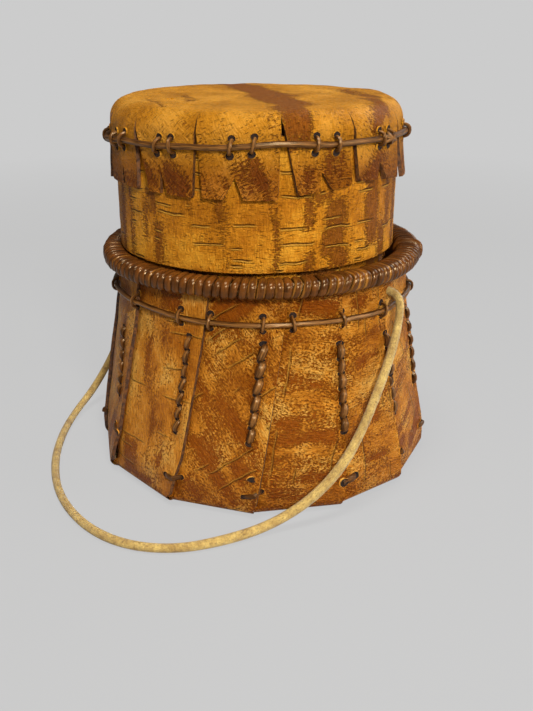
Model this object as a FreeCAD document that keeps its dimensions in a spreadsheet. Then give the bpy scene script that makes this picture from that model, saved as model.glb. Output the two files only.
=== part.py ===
import FreeCAD, Part

import math
import os

import Sketcher
from FreeCAD import Placement, Rotation, Vector

# A round lidded box of birch bark, as it is sewn by hand: one sheet whose rim is cut into
# petals that fold up and overlap, sewn with split root, with a root-wrapped rim, a carrying
# thong, and a lift-off lid with a notched top sheet, a band and a plug sleeve.
# Millimetres. +Z is up, the box stands on z = 0 and its axis is the Z axis.
# Angles are in degrees round that axis, 0 at the front (-Y) and rising towards +X.

doc = FreeCAD.newDocument("birch_bark_box")
sizes = doc.addObject("Spreadsheet::Sheet", "sizes")

DRIVING_SIZES = {
    # the bark sheet of the box: an inset is how far that level stands in from the foot
    "bark_thickness": 1.3,
    "foot_radius": 62.2,
    "fold_round": 1.2,
    "knee_inset": 0.6,
    "knee_height": 10.0,
    "neck_inset": 9.4,
    "neck_drop": 17.0,
    "mouth_inset": 10.5,
    "rim_height": 79.0,
    "seam_lift": 0.9,
    "rim_lift": 0.5,
    "lap_width": 12.0,
    # the split roots
    "root_width": 1.6,
    "root_thickness": 1.1,
    "strand_width": 1.8,
    "fit_gap": 0.1,
    # the wrapped rim
    "hoop_width": 4.0,
    "wrap_width": 2.65,
    "wrap_thickness": 1.2,
    "wrap_groove": 0.45,
    "wrap_round": 1.8,
    # strand and stitches on the wall: a drop is counted down from the rim
    "strand_drop": 14.0,
    "seam_low": 27.0,
    "seam_clearance": 7.5,
    "tack_height": 10.5,
    "tack_length": 6.0,
    # the thong
    "thong_width": 3.2,
    "thong_drop": 10.0,
    "thong_stand_off": 4.6,
    "knot_width": 5.4,
    "knot_length": 5.0,
    # the lid, which stands in from the mouth and rises above the rim
    "lid_shift": 1.7,
    "lid_gap": 0.4,
    "lid_inset": 2.7,
    "lid_rise": 51.6,
    "tab_count": 13,
    "tab_length": 26.6,
    "tab_flare": 0.9,
    "shoulder_round": 7.5,
    "slit_top_width": 0.8,
    "slit_end_width": 5.2,
    "notch_width": 5.2,
    "notch_height": 7.2,
    "cut_margin": 0.5,
    "lid_strand_drop": 12.6,
    "lid_strand_tilt": 2.9,
    "lap_stitch": 5.5,
    "sleeve_room": 0.8,
    "sleeve_depth": 8.0,
}
DERIVED_SIZES = {
    "knee_radius": "=foot_radius - knee_inset",
    "neck_radius": "=foot_radius - neck_inset",
    "mouth_radius": "=foot_radius - mouth_inset",
    "neck_height": "=rim_height - neck_drop",
    "strand_height": "=rim_height - strand_drop",
    "seam_high": "=strand_height - seam_clearance",
    "thong_height": "=rim_height - thong_drop",
    "lid_height": "=rim_height + lid_rise",
    "lid_radius": "=mouth_radius - lid_inset",
    "sleeve_radius": "=lid_radius - 2 * bark_thickness - sleeve_room",
}
sheet_rows = []


def enter(alias, content):
    """One row of the sheet: the size's name, and its value or formula."""
    sheet_rows.append(alias)
    row = len(sheet_rows)
    sizes.set(f"A{row}", alias)
    sizes.set(f"B{row}", str(content))
    sizes.setAlias(f"B{row}", alias)
    sizes.recompute()


for alias, content in (DRIVING_SIZES | DERIVED_SIZES).items():
    enter(alias, content)
doc.recompute()


def size(alias):
    return float(getattr(sizes, alias))


bark = size("bark_thickness")
gap = size("fit_gap")
rim_height = size("rim_height")
root_width = size("root_width")
root_thickness = size("root_thickness")
strand_width = size("strand_width")

# Where each petal's free edge stands at the foot and at the rim. No two petals are equally
# wide, and most edges lean.
FOOT_ANGLES = [-64.0, -31.5, -2.5, 26.5, 53.5, 81.5, 108.5, 135.0, 162.5, 189.0, 216.5, 243.0, 270.0]
RIM_ANGLES = [-51.5, -18.0, 10.5, 30.0, 51.0, 80.0, 109.0, 138.0, 165.0, 193.5, 220.0, 248.5, 275.5]
# How many degrees each seam's stitches run inside the edge they hold down.
STITCH_LEAD_ANGLES = [7.0, 5.5, 6.0, 1.5, 1.5, 3.0, 5.0, 6.0, 4.5, 6.0, 5.5, 5.0, 6.5]
PETALS = len(FOOT_ANGLES)
FULL_TURN = 360.0
# A petal's roundness where it is creased: 0 would be flat, 1 round.
CREASED_ROUNDNESS = 0.04


def polar(radius, angle, height):
    turn = math.radians(angle)
    return Vector(radius * math.sin(turn), -radius * math.cos(turn), height)


def outward(angle):
    return polar(1.0, angle, 0.0)


def sideways(angle):
    return polar(1.0, angle + 90.0, 0.0)


def turned(shape, angle):
    """A copy of a shape made at the front, carried round the axis."""
    copy = shape.copy()
    copy.rotate(Vector(0, 0, 0), Vector(0, 0, 1), angle)
    return copy


def feature(label, shape):
    piece = doc.addObject("Part::Feature", label)
    piece.Label = label
    piece.Shape = shape
    return piece


# ---------------------------------------------------------------- the bark sheet of the box

def edge_angle(index, height):
    """The angle of a petal's free edge at one height, counted on past a full turn."""
    lap, petal = divmod(index, PETALS)
    share = height / rim_height
    foot = FOOT_ANGLES[petal]
    return foot + (RIM_ANGLES[petal] - foot) * share + FULL_TURN * lap


def petal_outline(height, radius, lift, roundness, turn_back):
    """The closed outline of all petals at one height.

    Each petal starts under its neighbour's edge and runs out to its own, one lift higher. It is
    nearly straight at the foot, where the sheet is creased, and an arc of the mouth at the rim.
    """
    edges = []
    for index in range(PETALS):
        first = edge_angle(index, height) - turn_back
        last = edge_angle(index + 1, height) - turn_back
        half = math.radians((last - first) / 2)
        middle = (radius - lift / 2) * (roundness + (1 - roundness) * math.cos(half))
        start = polar(radius - lift, first, height)
        end = polar(radius, last, height)
        through = polar(middle, (first + last) / 2, height)
        edges.append(Part.Arc(start, through, end).toShape())
        edges.append(Part.LineSegment(end, polar(radius - lift, last, height)).toShape())
    return Part.Wire(edges)


def wall_radius_at(height):
    """The radius of the petals' free edges, from the fold at the foot up to the rim."""
    fold = size("fold_round")
    stations = [
        (0.0, size("foot_radius") - fold),
        (fold, size("foot_radius")),
        (size("knee_height"), size("knee_radius")),
        (size("neck_height"), size("neck_radius")),
        (rim_height, size("mouth_radius")),
    ]
    for (low, low_radius), (high, high_radius) in zip(stations, stations[1:]):
        if height <= high:
            break
    return low_radius + (high_radius - low_radius) * (height - low) / (high - low)


def lift_at(height):
    """The step at a petal's edge: pressed flat at the fold, and shaved thin at the rim."""
    fold_lift = size("seam_lift") / 4
    if height <= size("fold_round"):
        return fold_lift
    if height <= size("knee_height"):
        share = (height - size("fold_round")) / (size("knee_height") - size("fold_round"))
        return fold_lift + (size("seam_lift") - fold_lift) * share
    if height <= size("neck_height"):
        return size("seam_lift")
    share = (height - size("neck_height")) / (rim_height - size("neck_height"))
    return size("seam_lift") + (size("rim_lift") - size("seam_lift")) * share


def roundness_at(height):
    """0 where the petals are flat, 1 where they stand round."""
    share = min(height / size("neck_height"), 1.0)
    return CREASED_ROUNDNESS + (1.0 - CREASED_ROUNDNESS) * share


def lap_angle_at(height):
    """How far a petal reaches back under its neighbour: nothing at the fold, all at the rim."""
    full = math.degrees(size("lap_width") / size("mouth_radius"))
    return full * height / rim_height


def outer_outline(height):
    return petal_outline(height, wall_radius_at(height), lift_at(height), roundness_at(height), 0.0)


def inner_radius_at(height):
    lap_share = lap_angle_at(height) * PETALS / FULL_TURN
    return wall_radius_at(height) - bark - lift_at(height) * lap_share


def inner_outline(height, station):
    """The hollow's outline, which steps where each petal ends under its neighbour."""
    radius = inner_radius_at(station)
    outline = petal_outline(
        station, radius, lift_at(station), roundness_at(station), lap_angle_at(station)
    )
    outline.translate(Vector(0, 0, height - station))
    return outline


wall_stations = [0.0, size("fold_round"), size("knee_height"), size("neck_height"), rim_height]
outer_form = Part.makeLoft([outer_outline(height) for height in wall_stations], True, True)
hollow_form = Part.makeLoft(
    [
        inner_outline(bark, size("fold_round")),
        inner_outline(size("knee_height"), size("knee_height")),
        inner_outline(size("neck_height"), size("neck_height")),
        inner_outline(rim_height, rim_height),
    ],
    True,
    True,
)


def surface_radius(form, angle, height):
    """How far a form reaches from the axis in one direction at one height."""
    reach = 2 * size("foot_radius")
    ray = Part.makeLine(Vector(0, 0, height), polar(reach, angle, height))
    return ray.common(form).Length


# The thong passes through the wall at the right of the front and, opposite, at the left.
RIGHT_HOLE_ANGLE = 56.0
LEFT_HOLE_ANGLE = -122.0
thong_height = size("thong_height")
hole_radius = size("thong_width") / 2 + 2 * gap


def thong_hole(angle):
    start = size("mouth_radius") / 2
    return Part.makeCylinder(
        hole_radius, size("foot_radius"), polar(start, angle, thong_height), outward(angle)
    )


bark_shape = outer_form.cut(hollow_form)
for hole_angle in (RIGHT_HOLE_ANGLE, LEFT_HOLE_ANGLE):
    bark_shape = bark_shape.cut(thong_hole(hole_angle))
feature("bark_box", bark_shape)


# ---------------------------------------------------------------- hoops and strands

ROOT_SIDES = 6


def ring_of_root(label, radius, height, half_width):
    """A root or rod bent round the axis: a polygon turned into a ring."""
    section = doc.addObject("Part::RegularPolygon", label + "_section")
    section.Polygon = ROOT_SIDES
    section.setExpression("Circumradius", half_width)
    section.Placement = Placement(Vector(0, 0, 0), Rotation(Vector(1, 0, 0), 90))
    section.setExpression("Placement.Base.x", radius)
    section.setExpression("Placement.Base.z", height)
    ring = doc.addObject("Part::Revolution", label)
    ring.Label = label
    ring.Source = section
    ring.Axis = (0, 0, 1)
    ring.Base = (0, 0, 0)
    ring.Angle = FULL_TURN
    ring.Solid = True
    return ring


# The hoop lies outside the bark's upper edge, flush with it.
ring_of_root(
    "rim_hoop",
    "sizes.mouth_radius + 2 * sizes.fit_gap + sizes.hoop_width / 2",
    "sizes.rim_height - sizes.hoop_width / 2",
    "sizes.hoop_width / 2",
)
# A thin root runs round the wall under the rim, where its lower side touches the bark.
strand_middle = size("strand_height")
wall_at_strand = wall_radius_at(strand_middle - strand_width / 2)
enter("wall_strand_radius", wall_at_strand + gap + strand_width / 2)
ring_of_root("wall_strand_root", "sizes.wall_strand_radius", "sizes.strand_height", "sizes.strand_width / 2")


# ---------------------------------------------------------------- the wrapped rim

# The space inside the wrapping holds the bark's edge and the hoop.
rim_inside = inner_radius_at(rim_height) - lift_at(rim_height) - gap
rim_outside = size("mouth_radius") + size("hoop_width") + 3 * gap
rim_bottom = rim_height - size("hoop_width") - gap
rim_top = rim_height + gap
wrap_radius = (rim_inside + rim_outside) / 2
wrap_turns = round(2 * math.pi * wrap_radius / size("wrap_width"))


def wrap_section(angle, grown):
    """The wrapping's outline at one angle: tight over the bark's edge, round over the hoop."""
    edge_round = size("wrap_round") / 2
    hoop_round = size("wrap_round")
    inner = rim_inside - grown
    outer = rim_outside + grown
    low = rim_bottom - grown
    high = rim_top + grown
    corners = [
        (inner, low),
        (inner, high - edge_round),
        (inner + edge_round, high),
        (outer - hoop_round, high),
        (outer, high - hoop_round),
        (outer, low + hoop_round),
        (outer - hoop_round, low),
    ]
    return [polar(radius, angle, height) for radius, height in corners]


def facets_between(first, second):
    """Flat triangles between two outlines with the same number of corners."""
    facets = []
    for index in range(len(first)):
        following = (index + 1) % len(first)
        near, far = first[index], first[following]
        near_on, far_on = second[index], second[following]
        for corners in ([near, far, far_on], [near, far_on, near_on]):
            facets.append(Part.Face(Part.makePolygon(corners + corners[:1])))
    return facets


def rim_wrapping():
    """One root in close turns: each turn is a ridge with a groove on either side."""
    crest = size("wrap_thickness")
    groove = crest - size("wrap_groove")
    sections = []
    for turn in range(wrap_turns):
        angle = FULL_TURN * turn / wrap_turns
        sections.append(wrap_section(angle, groove))
        sections.append(wrap_section(angle + FULL_TURN / wrap_turns / 2, crest))
    facets = []
    for first, second in zip(sections, sections[1:] + sections[:1]):
        facets.extend(facets_between(first, second))
    wrapping = Part.makeSolid(Part.makeShell(facets))
    round_off = size("hoop_width") / 4
    corners = [
        Vector(rim_inside, 0, rim_bottom),
        Vector(rim_outside - round_off, 0, rim_bottom),
        Vector(rim_outside, 0, rim_bottom + round_off),
        Vector(rim_outside, 0, rim_top - round_off),
        Vector(rim_outside - round_off, 0, rim_top),
        Vector(rim_inside, 0, rim_top),
    ]
    inside = Part.Face(Part.makePolygon(corners + corners[:1]))
    return wrapping.cut(inside.revolve(Vector(0, 0, 0), Vector(0, 0, 1), FULL_TURN))


feature("rim_wrapping_root", rim_wrapping())


# ---------------------------------------------------------------- stitches

def root_loop(inside, outside, low, high, thickness):
    """One overcast stitch at the front: a closed loop of root round what it holds."""
    corner = thickness
    outer = [
        (inside - thickness, low - thickness),
        (inside - thickness, high + thickness),
        (outside + thickness - corner, high + thickness),
        (outside + thickness, high + thickness - corner),
        (outside + thickness, low - thickness + corner),
        (outside + thickness - corner, low - thickness),
    ]
    inner = [(inside, low), (inside, high), (outside, high), (outside, low)]
    start = -root_width / 2
    wires = []
    for corners in (outer, inner):
        points = [Vector(start, -radius, height) for radius, height in corners]
        wires.append(Part.makePolygon(points + points[:1]))
    return Part.makeFace(wires, "Part::FaceMakerBullseye").extrude(Vector(root_width, 0, 0))


# Overcast stitches hold the strand to the wall, one beside most seams and some between.
WALL_STITCH_ANGLES = [-77.0, -52.5, -29.4, -17.9, 0.6, 11.1, 29.4, 49.3, 82.0]
WALL_STITCH_ANGLES += [104.0, 127.0, 146.0, 171.0, 196.0, 214.0, 228.0, 253.0]
strand_room = strand_width / 2 + gap
wall_inside = inner_radius_at(strand_middle) - lift_at(strand_middle) - gap
wall_outside = size("wall_strand_radius") + strand_room
wall_stitch = root_loop(
    wall_inside,
    wall_outside,
    strand_middle - strand_room,
    strand_middle + strand_room,
    root_thickness,
)
feature(
    "wall_strand_lashing",
    Part.makeCompound([turned(wall_stitch, angle) for angle in WALL_STITCH_ANGLES]),
)

STITCHES = 6


def seam_root(index):
    """A seam's root: stitches in a row outside, the same row inside, joined through the holes."""
    low_height = size("seam_low")
    high_height = size("seam_high")
    low_angle = edge_angle(index, low_height) - STITCH_LEAD_ANGLES[index]
    high_angle = edge_angle(index, high_height) - STITCH_LEAD_ANGLES[index]
    low = polar(surface_radius(outer_form, low_angle, low_height), low_angle, low_height)
    high = polar(surface_radius(outer_form, high_angle, high_height), high_angle, high_height)
    along = (high - low).normalize()
    across = sideways((low_angle + high_angle) / 2)
    out = across.cross(along).normalize()
    across = along.cross(out)
    pitch = (high - low).Length / STITCHES

    def wall_thickness(share):
        height = low_height + (high_height - low_height) * share
        angle = low_angle + (high_angle - low_angle) * share
        return surface_radius(outer_form, angle, height) - surface_radius(hollow_form, angle, height)

    # pulled tight, the root bears on the thickest place it crosses
    wall = max(wall_thickness(hole / STITCHES) for hole in range(STITCHES + 1))
    notch = root_thickness / 2

    def at(distance, depth):
        return low + along * distance + out * depth - across * (root_width / 2)

    inner_face = -wall - gap
    outline = [at(-notch, inner_face - root_thickness), at(-notch, gap), at(0, root_thickness)]
    for stitch in range(1, STITCHES):
        hole = stitch * pitch
        outline.append(at(hole - notch, root_thickness))
        outline.append(at(hole, notch))
        outline.append(at(hole + notch, root_thickness))
    end = STITCHES * pitch
    outline += [at(end, root_thickness), at(end + notch, gap)]
    outline.append(at(end + notch, inner_face - root_thickness))
    wires = [Part.makePolygon(outline + outline[:1])]
    for stitch in range(STITCHES):
        start = stitch * pitch + notch
        stop = (stitch + 1) * pitch - notch
        corners = [at(start, inner_face), at(start, 0), at(stop, 0), at(stop, inner_face)]
        wires.append(Part.makePolygon(corners + corners[:1]))
    return Part.makeFace(wires, "Part::FaceMakerBullseye").extrude(across * root_width)


for index in range(PETALS):
    feature(f"seam_root_{index + 1:02d}", seam_root(index))


# A short root pins each corner of the base, where two petals fold over each other, a little
# inside the edge.
TACK_LEAD_ANGLE = 2.0
tack_height = size("tack_height")
for index in range(PETALS):
    tack = doc.addObject("Part::Box", f"corner_tack_{index + 1:02d}")
    tack.Label = f"corner_tack_{index + 1:02d}"
    tack.setExpression("Length", "sizes.tack_length")
    tack.setExpression("Height", "sizes.root_width")
    angle = edge_angle(index, tack_height) - TACK_LEAD_ANGLE
    outside = surface_radius(outer_form, angle, tack_height)
    inside = surface_radius(hollow_form, angle, tack_height)
    tack.Width = outside - inside + root_width
    corner = polar(inside - root_width / 2, angle, tack_height - root_width / 2)
    corner -= sideways(angle) * size("tack_length") / 2
    # the box's width points inwards at the front, so it is turned to face out
    corner += outward(angle) * float(tack.Width)
    tack.Placement = Placement(corner, Rotation(Vector(0, 0, 1), angle))


# ---------------------------------------------------------------- the carrying thong

# Where the thong runs on a box of this radius and height: out of the right hole, down past
# the front, round the left on the surface the box stands on, and up behind to the left hole.
ROUTE_FOOT_RADIUS = 62.2
ROUTE_RIM_HEIGHT = 79.0
THONG_ROUTE = [
    (46.6, -34.0, 60.5),
    (43.9, -39.0, 51.0),
    (39.4, -45.6, 40.5),
    (33.8, -52.0, 28.5),
    (27.0, -58.4, 18.0),
    (17.0, -64.3, 9.0),
    (4.0, -69.2, 2.4),
    (-10.0, -77.0, 1.6),
    (-27.0, -82.8, 1.6),
    (-44.0, -79.8, 1.6),
    (-58.6, -68.2, 1.6),
    (-70.4, -49.0, 1.6),
    (-76.8, -26.0, 1.6),
    (-78.6, -4.0, 1.6),
    (-77.2, 15.0, 2.2),
    (-71.5, 31.0, 6.5),
    (-64.5, 39.5, 18.0),
    (-58.0, 38.5, 34.0),
    (-53.0, 34.8, 48.0),
    (-49.6, 32.0, 60.0),
]


def knot_seat(angle):
    return surface_radius(hollow_form, angle, thong_height) - 3 * gap


def thong_points():
    """The corners of the thong's route, from the knot inside the right wall to the left one."""
    stand_off = size("mouth_radius") + size("thong_stand_off")
    spread = size("foot_radius") / ROUTE_FOOT_RADIUS
    rise = rim_height / ROUTE_RIM_HEIGHT
    on_the_floor = size("thong_width") / 2
    points = [
        polar(knot_seat(RIGHT_HOLE_ANGLE), RIGHT_HOLE_ANGLE, thong_height),
        polar(stand_off, RIGHT_HOLE_ANGLE, thong_height),
    ]
    for x, y, z in THONG_ROUTE:
        points.append(Vector(x * spread, y * spread, max(z * rise, on_the_floor)))
    points.append(polar(stand_off, LEFT_HOLE_ANGLE, thong_height))
    points.append(polar(knot_seat(LEFT_HOLE_ANGLE), LEFT_HOLE_ANGLE, thong_height))
    return points


BEND_SHARE = 0.45


def thong_path():
    """Straight runs joined by tangent arcs, each as large as its two runs allow."""
    points = thong_points()
    edges = []
    here = points[0]
    for before, point, after in zip(points, points[1:], points[2:]):
        back = (before - point).normalize()
        on = (after - point).normalize()
        turn = math.pi - back.getAngle(on)
        shorter = min((before - point).Length, (after - point).Length)
        reach = BEND_SHARE * shorter
        radius = reach / math.tan(turn / 2)
        start = point + back * reach
        end = point + on * reach
        centre = point + (back + on).normalize() * (radius / math.cos(turn / 2))
        through = centre + (point - centre).normalize() * radius
        edges.append(Part.LineSegment(here, start).toShape())
        edges.append(Part.Arc(start, through, end).toShape())
        here = end
    edges.append(Part.LineSegment(here, points[-1]).toShape())
    return Part.Wire(edges)


CORD_SIDES = 8


def round_corners(centre, side, up, radius):
    """The corners of a section of the thong or of its knots."""
    corners = []
    for step in range(CORD_SIDES):
        turn = 2 * math.pi * step / CORD_SIDES
        corners.append(centre + side * (radius * math.cos(turn)) + up * (radius * math.sin(turn)))
    return corners


def thong():
    path = thong_path()
    first = path.OrderedEdges[0]
    start = first.valueAt(first.FirstParameter)
    direction = first.tangentAt(first.FirstParameter)
    side = direction.cross(Vector(0, 0, 1)).normalize()
    corners = round_corners(start, side, side.cross(direction), size("thong_width") / 2)
    section = Part.makePolygon(corners + corners[:1])
    swept = path.makePipeShell([section], True, False)
    full_volume = Part.Face(section).Area * path.Length
    if abs(swept.Volume / full_volume - 1) > 0.01:
        raise RuntimeError("the thong folds into itself")
    print(f"thong: {path.Length:.1f} mm long")
    return swept


feature("carrying_thong", thong())


def stopper_knot(angle):
    """The thong's end in a knot that bears on the inside of the wall."""
    seat = knot_seat(angle)
    rings = []
    for share, width_share in ((0.0, 0.75), (0.4, 1.0), (1.0, 0.6)):
        centre = polar(seat - size("knot_length") * share, angle, thong_height)
        radius = size("knot_width") / 2 * width_share
        rings.append(round_corners(centre, sideways(angle), Vector(0, 0, 1), radius))
    facets = facets_between(rings[0], rings[1]) + facets_between(rings[1], rings[2])
    for ring in (rings[0], rings[-1]):
        facets.append(Part.Face(Part.makePolygon(ring + ring[:1])))
    return Part.makeSolid(Part.makeShell(facets))


feature("thong_knot_right", stopper_knot(RIGHT_HOLE_ANGLE))
feature("thong_knot_left", stopper_knot(LEFT_HOLE_ANGLE))


# ---------------------------------------------------------------- the lid's bark strips

lid_place = Placement(Vector(-size("lid_shift"), 0, 0), Rotation())
band_bottom = rim_top + size("wrap_thickness") + size("lid_gap")
skirt_inside = size("lid_radius") + gap / 2
skirt_outside = skirt_inside + bark
shoulder_base = size("lid_height") - size("shoulder_round")


# Before its lap a strip eases inwards over this angle.
EASE_ANGLE = 40.0


def lapped_outline(radius, lap_start, lap_angle, height):
    """A strip rolled into a ring, its inner end tucked under its outer end."""
    tucked = radius - bark - gap / 2

    def arc(from_radius, to_radius, from_angle, to_angle):
        middle = (from_radius + to_radius) / 2
        return Part.Arc(
            polar(from_radius, from_angle, height),
            polar(middle, (from_angle + to_angle) / 2, height),
            polar(to_radius, to_angle, height),
        ).toShape()

    round_turn = FULL_TURN - EASE_ANGLE
    stops = [lap_start, lap_start + round_turn / 2, lap_start + round_turn]
    stops += [lap_start + FULL_TURN, lap_start + FULL_TURN + lap_angle]
    outsides = [radius, radius, radius, tucked, tucked]
    edges = []
    for layer in (0.0, bark):
        for index in range(len(stops) - 1):
            here = outsides[index] - layer
            following = outsides[index + 1] - layer
            edges.append(arc(here, following, stops[index], stops[index + 1]))
    for stop, outside in ((stops[0], outsides[0]), (stops[-1], outsides[-1])):
        end = Part.LineSegment(polar(outside, stop, height), polar(outside - bark, stop, height))
        edges.append(end.toShape())
    return Part.Wire(Part.__sortEdges__(edges))


def lid_piece(label, shape):
    """A piece made round the axis, moved to where the lid sits."""
    piece = feature(label, shape)
    piece.Placement = lid_place.multiply(piece.Placement)


BAND_LAP_START = 168.0
SLEEVE_LAP_START = 78.0
LAP_ANGLE = 16.0

band_outline = lapped_outline(size("lid_radius"), BAND_LAP_START, LAP_ANGLE, band_bottom)
band_height = shoulder_base - gap - band_bottom
lid_piece("lid_band_bark", Part.Face(band_outline).extrude(Vector(0, 0, band_height)))

# The sleeve hangs out of the band and plugs the mouth.
sleeve_bottom = rim_top + size("wrap_thickness") - size("sleeve_depth")
sleeve_outline = lapped_outline(size("sleeve_radius"), SLEEVE_LAP_START, LAP_ANGLE, sleeve_bottom)
sleeve_height = shoulder_base - gap - sleeve_bottom
lid_piece("plug_sleeve_bark", Part.Face(sleeve_outline).extrude(Vector(0, 0, sleeve_height)))


def lap_root(radius, low, high, angle, layers):
    """The root that sews a strip's lap: one loop after another down the lap."""
    thread = root_thickness / 2
    stitches = max(1, round((high - low) / size("lap_stitch")))
    pitch = (high - low) / stitches
    loops = []
    for stitch in range(stitches):
        start = low + stitch * pitch + 2 * thread
        stop = low + (stitch + 1) * pitch - 2 * thread
        loops.append(root_loop(radius - layers - gap, radius + gap / 2, start, stop, thread))
    return turned(Part.makeCompound(loops), angle)


lap_layers = 2 * bark + gap / 2
lid_piece(
    "plug_sleeve_seam_root",
    lap_root(
        size("sleeve_radius") + root_thickness / 4,
        sleeve_bottom,
        band_bottom,
        SLEEVE_LAP_START + LAP_ANGLE / 2,
        lap_layers + root_thickness / 4,
    ),
)
lid_piece(
    "lid_band_seam_root",
    lap_root(
        size("lid_radius"),
        band_bottom,
        size("lid_height") - size("tab_length") - root_thickness,
        BAND_LAP_START + LAP_ANGLE / 2,
        lap_layers,
    ),
)


# ---------------------------------------------------------------- the lid's top sheet

FIRST_SLIT_ANGLE = 9.9

top = doc.addObject("PartDesign::Body", "lid_top_bark")
top.Label = "lid_top_bark"


def origin_item(body, role):
    return next(item for item in body.Origin.OriginFeatures if item.Role == role)


def outline_sketch(name, corners, names, offset=None):
    """A sketch of straight lines through corners; each corner's place is bound to the sheet."""
    sketch = top.newObject("Sketcher::SketchObject", name)
    sketch.AttachmentSupport = [(origin_item(top, "XZ_Plane"), "")]
    sketch.MapMode = "FlatFace"
    if offset is not None:
        sketch.AttachmentOffset = offset
    count = len(corners)
    for index, (x, y) in enumerate(corners):
        next_x, next_y = corners[(index + 1) % count]
        sketch.addGeometry(Part.LineSegment(Vector(x, y, 0), Vector(next_x, next_y, 0)), False)
    for index in range(count):
        sketch.addConstraint(Sketcher.Constraint("Coincident", index, 2, (index + 1) % count, 1))
    for index, (across, up) in enumerate(names):
        for kind, expression, value in (
            ("DistanceX", across, corners[index][0]),
            ("DistanceY", up, corners[index][1]),
        ):
            number = sketch.addConstraint(Sketcher.Constraint(kind, -1, 1, index, 1, value))
            sketch.setExpression(f"Constraints[{number}]", expression)
    return sketch


SKIRT_IN = "sizes.lid_radius + sizes.fit_gap / 2"
SKIRT_OUT = SKIRT_IN + " + sizes.bark_thickness"
SHOULDER_BASE = "sizes.lid_height - sizes.shoulder_round"
TAB_END = "sizes.lid_height - sizes.tab_length"
lid_height = size("lid_height")
tab_end = lid_height - size("tab_length")
flare = size("tab_flare")
shoulder = size("shoulder_round")
# half of the sheet's section: flat on top, bent over the shoulder, flaring at the tabs' ends
section_corners = [
    (0.0, lid_height - bark),
    (skirt_outside - shoulder, lid_height - bark),
    (skirt_inside, shoulder_base),
    (skirt_inside + flare, tab_end),
    (skirt_outside + flare, tab_end),
]
section_names = [
    ("0", "sizes.lid_height - sizes.bark_thickness"),
    (SKIRT_OUT + " - sizes.shoulder_round", "sizes.lid_height - sizes.bark_thickness"),
    (SKIRT_IN, SHOULDER_BASE),
    (SKIRT_IN + " + sizes.tab_flare", TAB_END),
    (SKIRT_OUT + " + sizes.tab_flare", TAB_END),
]
# the shoulder is bent in flats, like the real stiff sheet, with their corners on its round
SHOULDER_FLATS = 2
for corner in range(SHOULDER_FLATS + 1):
    bend = 90.0 * corner / SHOULDER_FLATS
    reach = math.cos(math.radians(bend))
    rise = math.sin(math.radians(bend))
    section_corners.append((skirt_outside - shoulder * (1 - reach), shoulder_base + shoulder * rise))
    section_names.append(
        (
            f"{SKIRT_OUT} - sizes.shoulder_round * (1 - cos({bend} deg))",
            f"{SHOULDER_BASE} + sizes.shoulder_round * sin({bend} deg)",
        )
    )
section_corners.append((0.0, lid_height))
section_names.append(("0", "sizes.lid_height"))
section = outline_sketch("top_section", section_corners, section_names)
sheet_round = top.newObject("PartDesign::Revolution", "sheet_round")
sheet_round.Profile = section
sheet_round.ReferenceAxis = (section, ["V_Axis"])
sheet_round.Angle = FULL_TURN
doc.recompute()

# The cuts start in front of the flat top, so that they only open the shoulder and skirt.
margin = size("cut_margin")
cut_start = skirt_outside - shoulder + margin
slit_offset = Placement(Vector(0, 0, cut_start), Rotation())
slit_corners = [
    (-size("slit_top_width") / 2, lid_height + margin),
    (-size("slit_end_width") / 2, tab_end - margin),
    (size("slit_end_width") / 2, tab_end - margin),
    (size("slit_top_width") / 2, lid_height + margin),
]
slit_names = [
    ("-sizes.slit_top_width / 2", "sizes.lid_height + sizes.cut_margin"),
    ("-sizes.slit_end_width / 2", TAB_END + " - sizes.cut_margin"),
    ("sizes.slit_end_width / 2", TAB_END + " - sizes.cut_margin"),
    ("sizes.slit_top_width / 2", "sizes.lid_height + sizes.cut_margin"),
]
half_pitch = FULL_TURN / size("tab_count") / 2
notch_turn = Rotation(Vector(0, 1, 0), half_pitch)
notch_offset = Placement(notch_turn.multVec(Vector(0, 0, cut_start)), notch_turn)
notch_corners = [
    (0.0, tab_end + size("notch_height")),
    (-size("notch_width") / 2, tab_end - margin),
    (size("notch_width") / 2, tab_end - margin),
]
notch_names = [
    ("0", TAB_END + " + sizes.notch_height"),
    ("-sizes.notch_width / 2", TAB_END + " - sizes.cut_margin"),
    ("sizes.notch_width / 2", TAB_END + " - sizes.cut_margin"),
]


def cut_round(name, sketch, before):
    """A cut through the skirt, repeated round the lid; it must take material away."""
    cut = top.newObject("PartDesign::Pocket", name)
    cut.Profile = sketch
    cut.Type = 0
    cut.setExpression("Length", "sizes.shoulder_round * 2 + sizes.tab_flare")
    cut.Reversed = True
    doc.recompute()
    least_cut = bark * margin * margin
    if not cut.Shape.Volume < before.Shape.Volume - least_cut:
        raise RuntimeError(f"{name} cuts nothing")
    pattern = top.newObject("PartDesign::PolarPattern", name + "_round")
    pattern.Originals = [cut]
    pattern.Axis = (origin_item(top, "Z_Axis"), [""])
    pattern.Angle = FULL_TURN
    pattern.setExpression("Occurrences", "sizes.tab_count")
    top.Tip = pattern
    doc.recompute()
    return pattern


slits = cut_round("slit", outline_sketch("slit_outline", slit_corners, slit_names, slit_offset), sheet_round)
cut_round("notch", outline_sketch("notch_outline", notch_corners, notch_names, notch_offset), slits)
top.Placement = Placement(lid_place.Base, Rotation(Vector(0, 0, 1), FIRST_SLIT_ANGLE))


# ---------------------------------------------------------------- the lid's strand and stitches

strand_level = lid_height - size("lid_strand_drop")
strand_rise = skirt_outside * math.tan(math.radians(size("lid_strand_tilt")))
strand_share = (shoulder_base - strand_level + strand_rise) / (shoulder_base - tab_end)
strand_radius = skirt_outside + flare * strand_share + gap + strand_width / 2
HIGH_SIDE_ANGLE = 20.0

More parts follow.
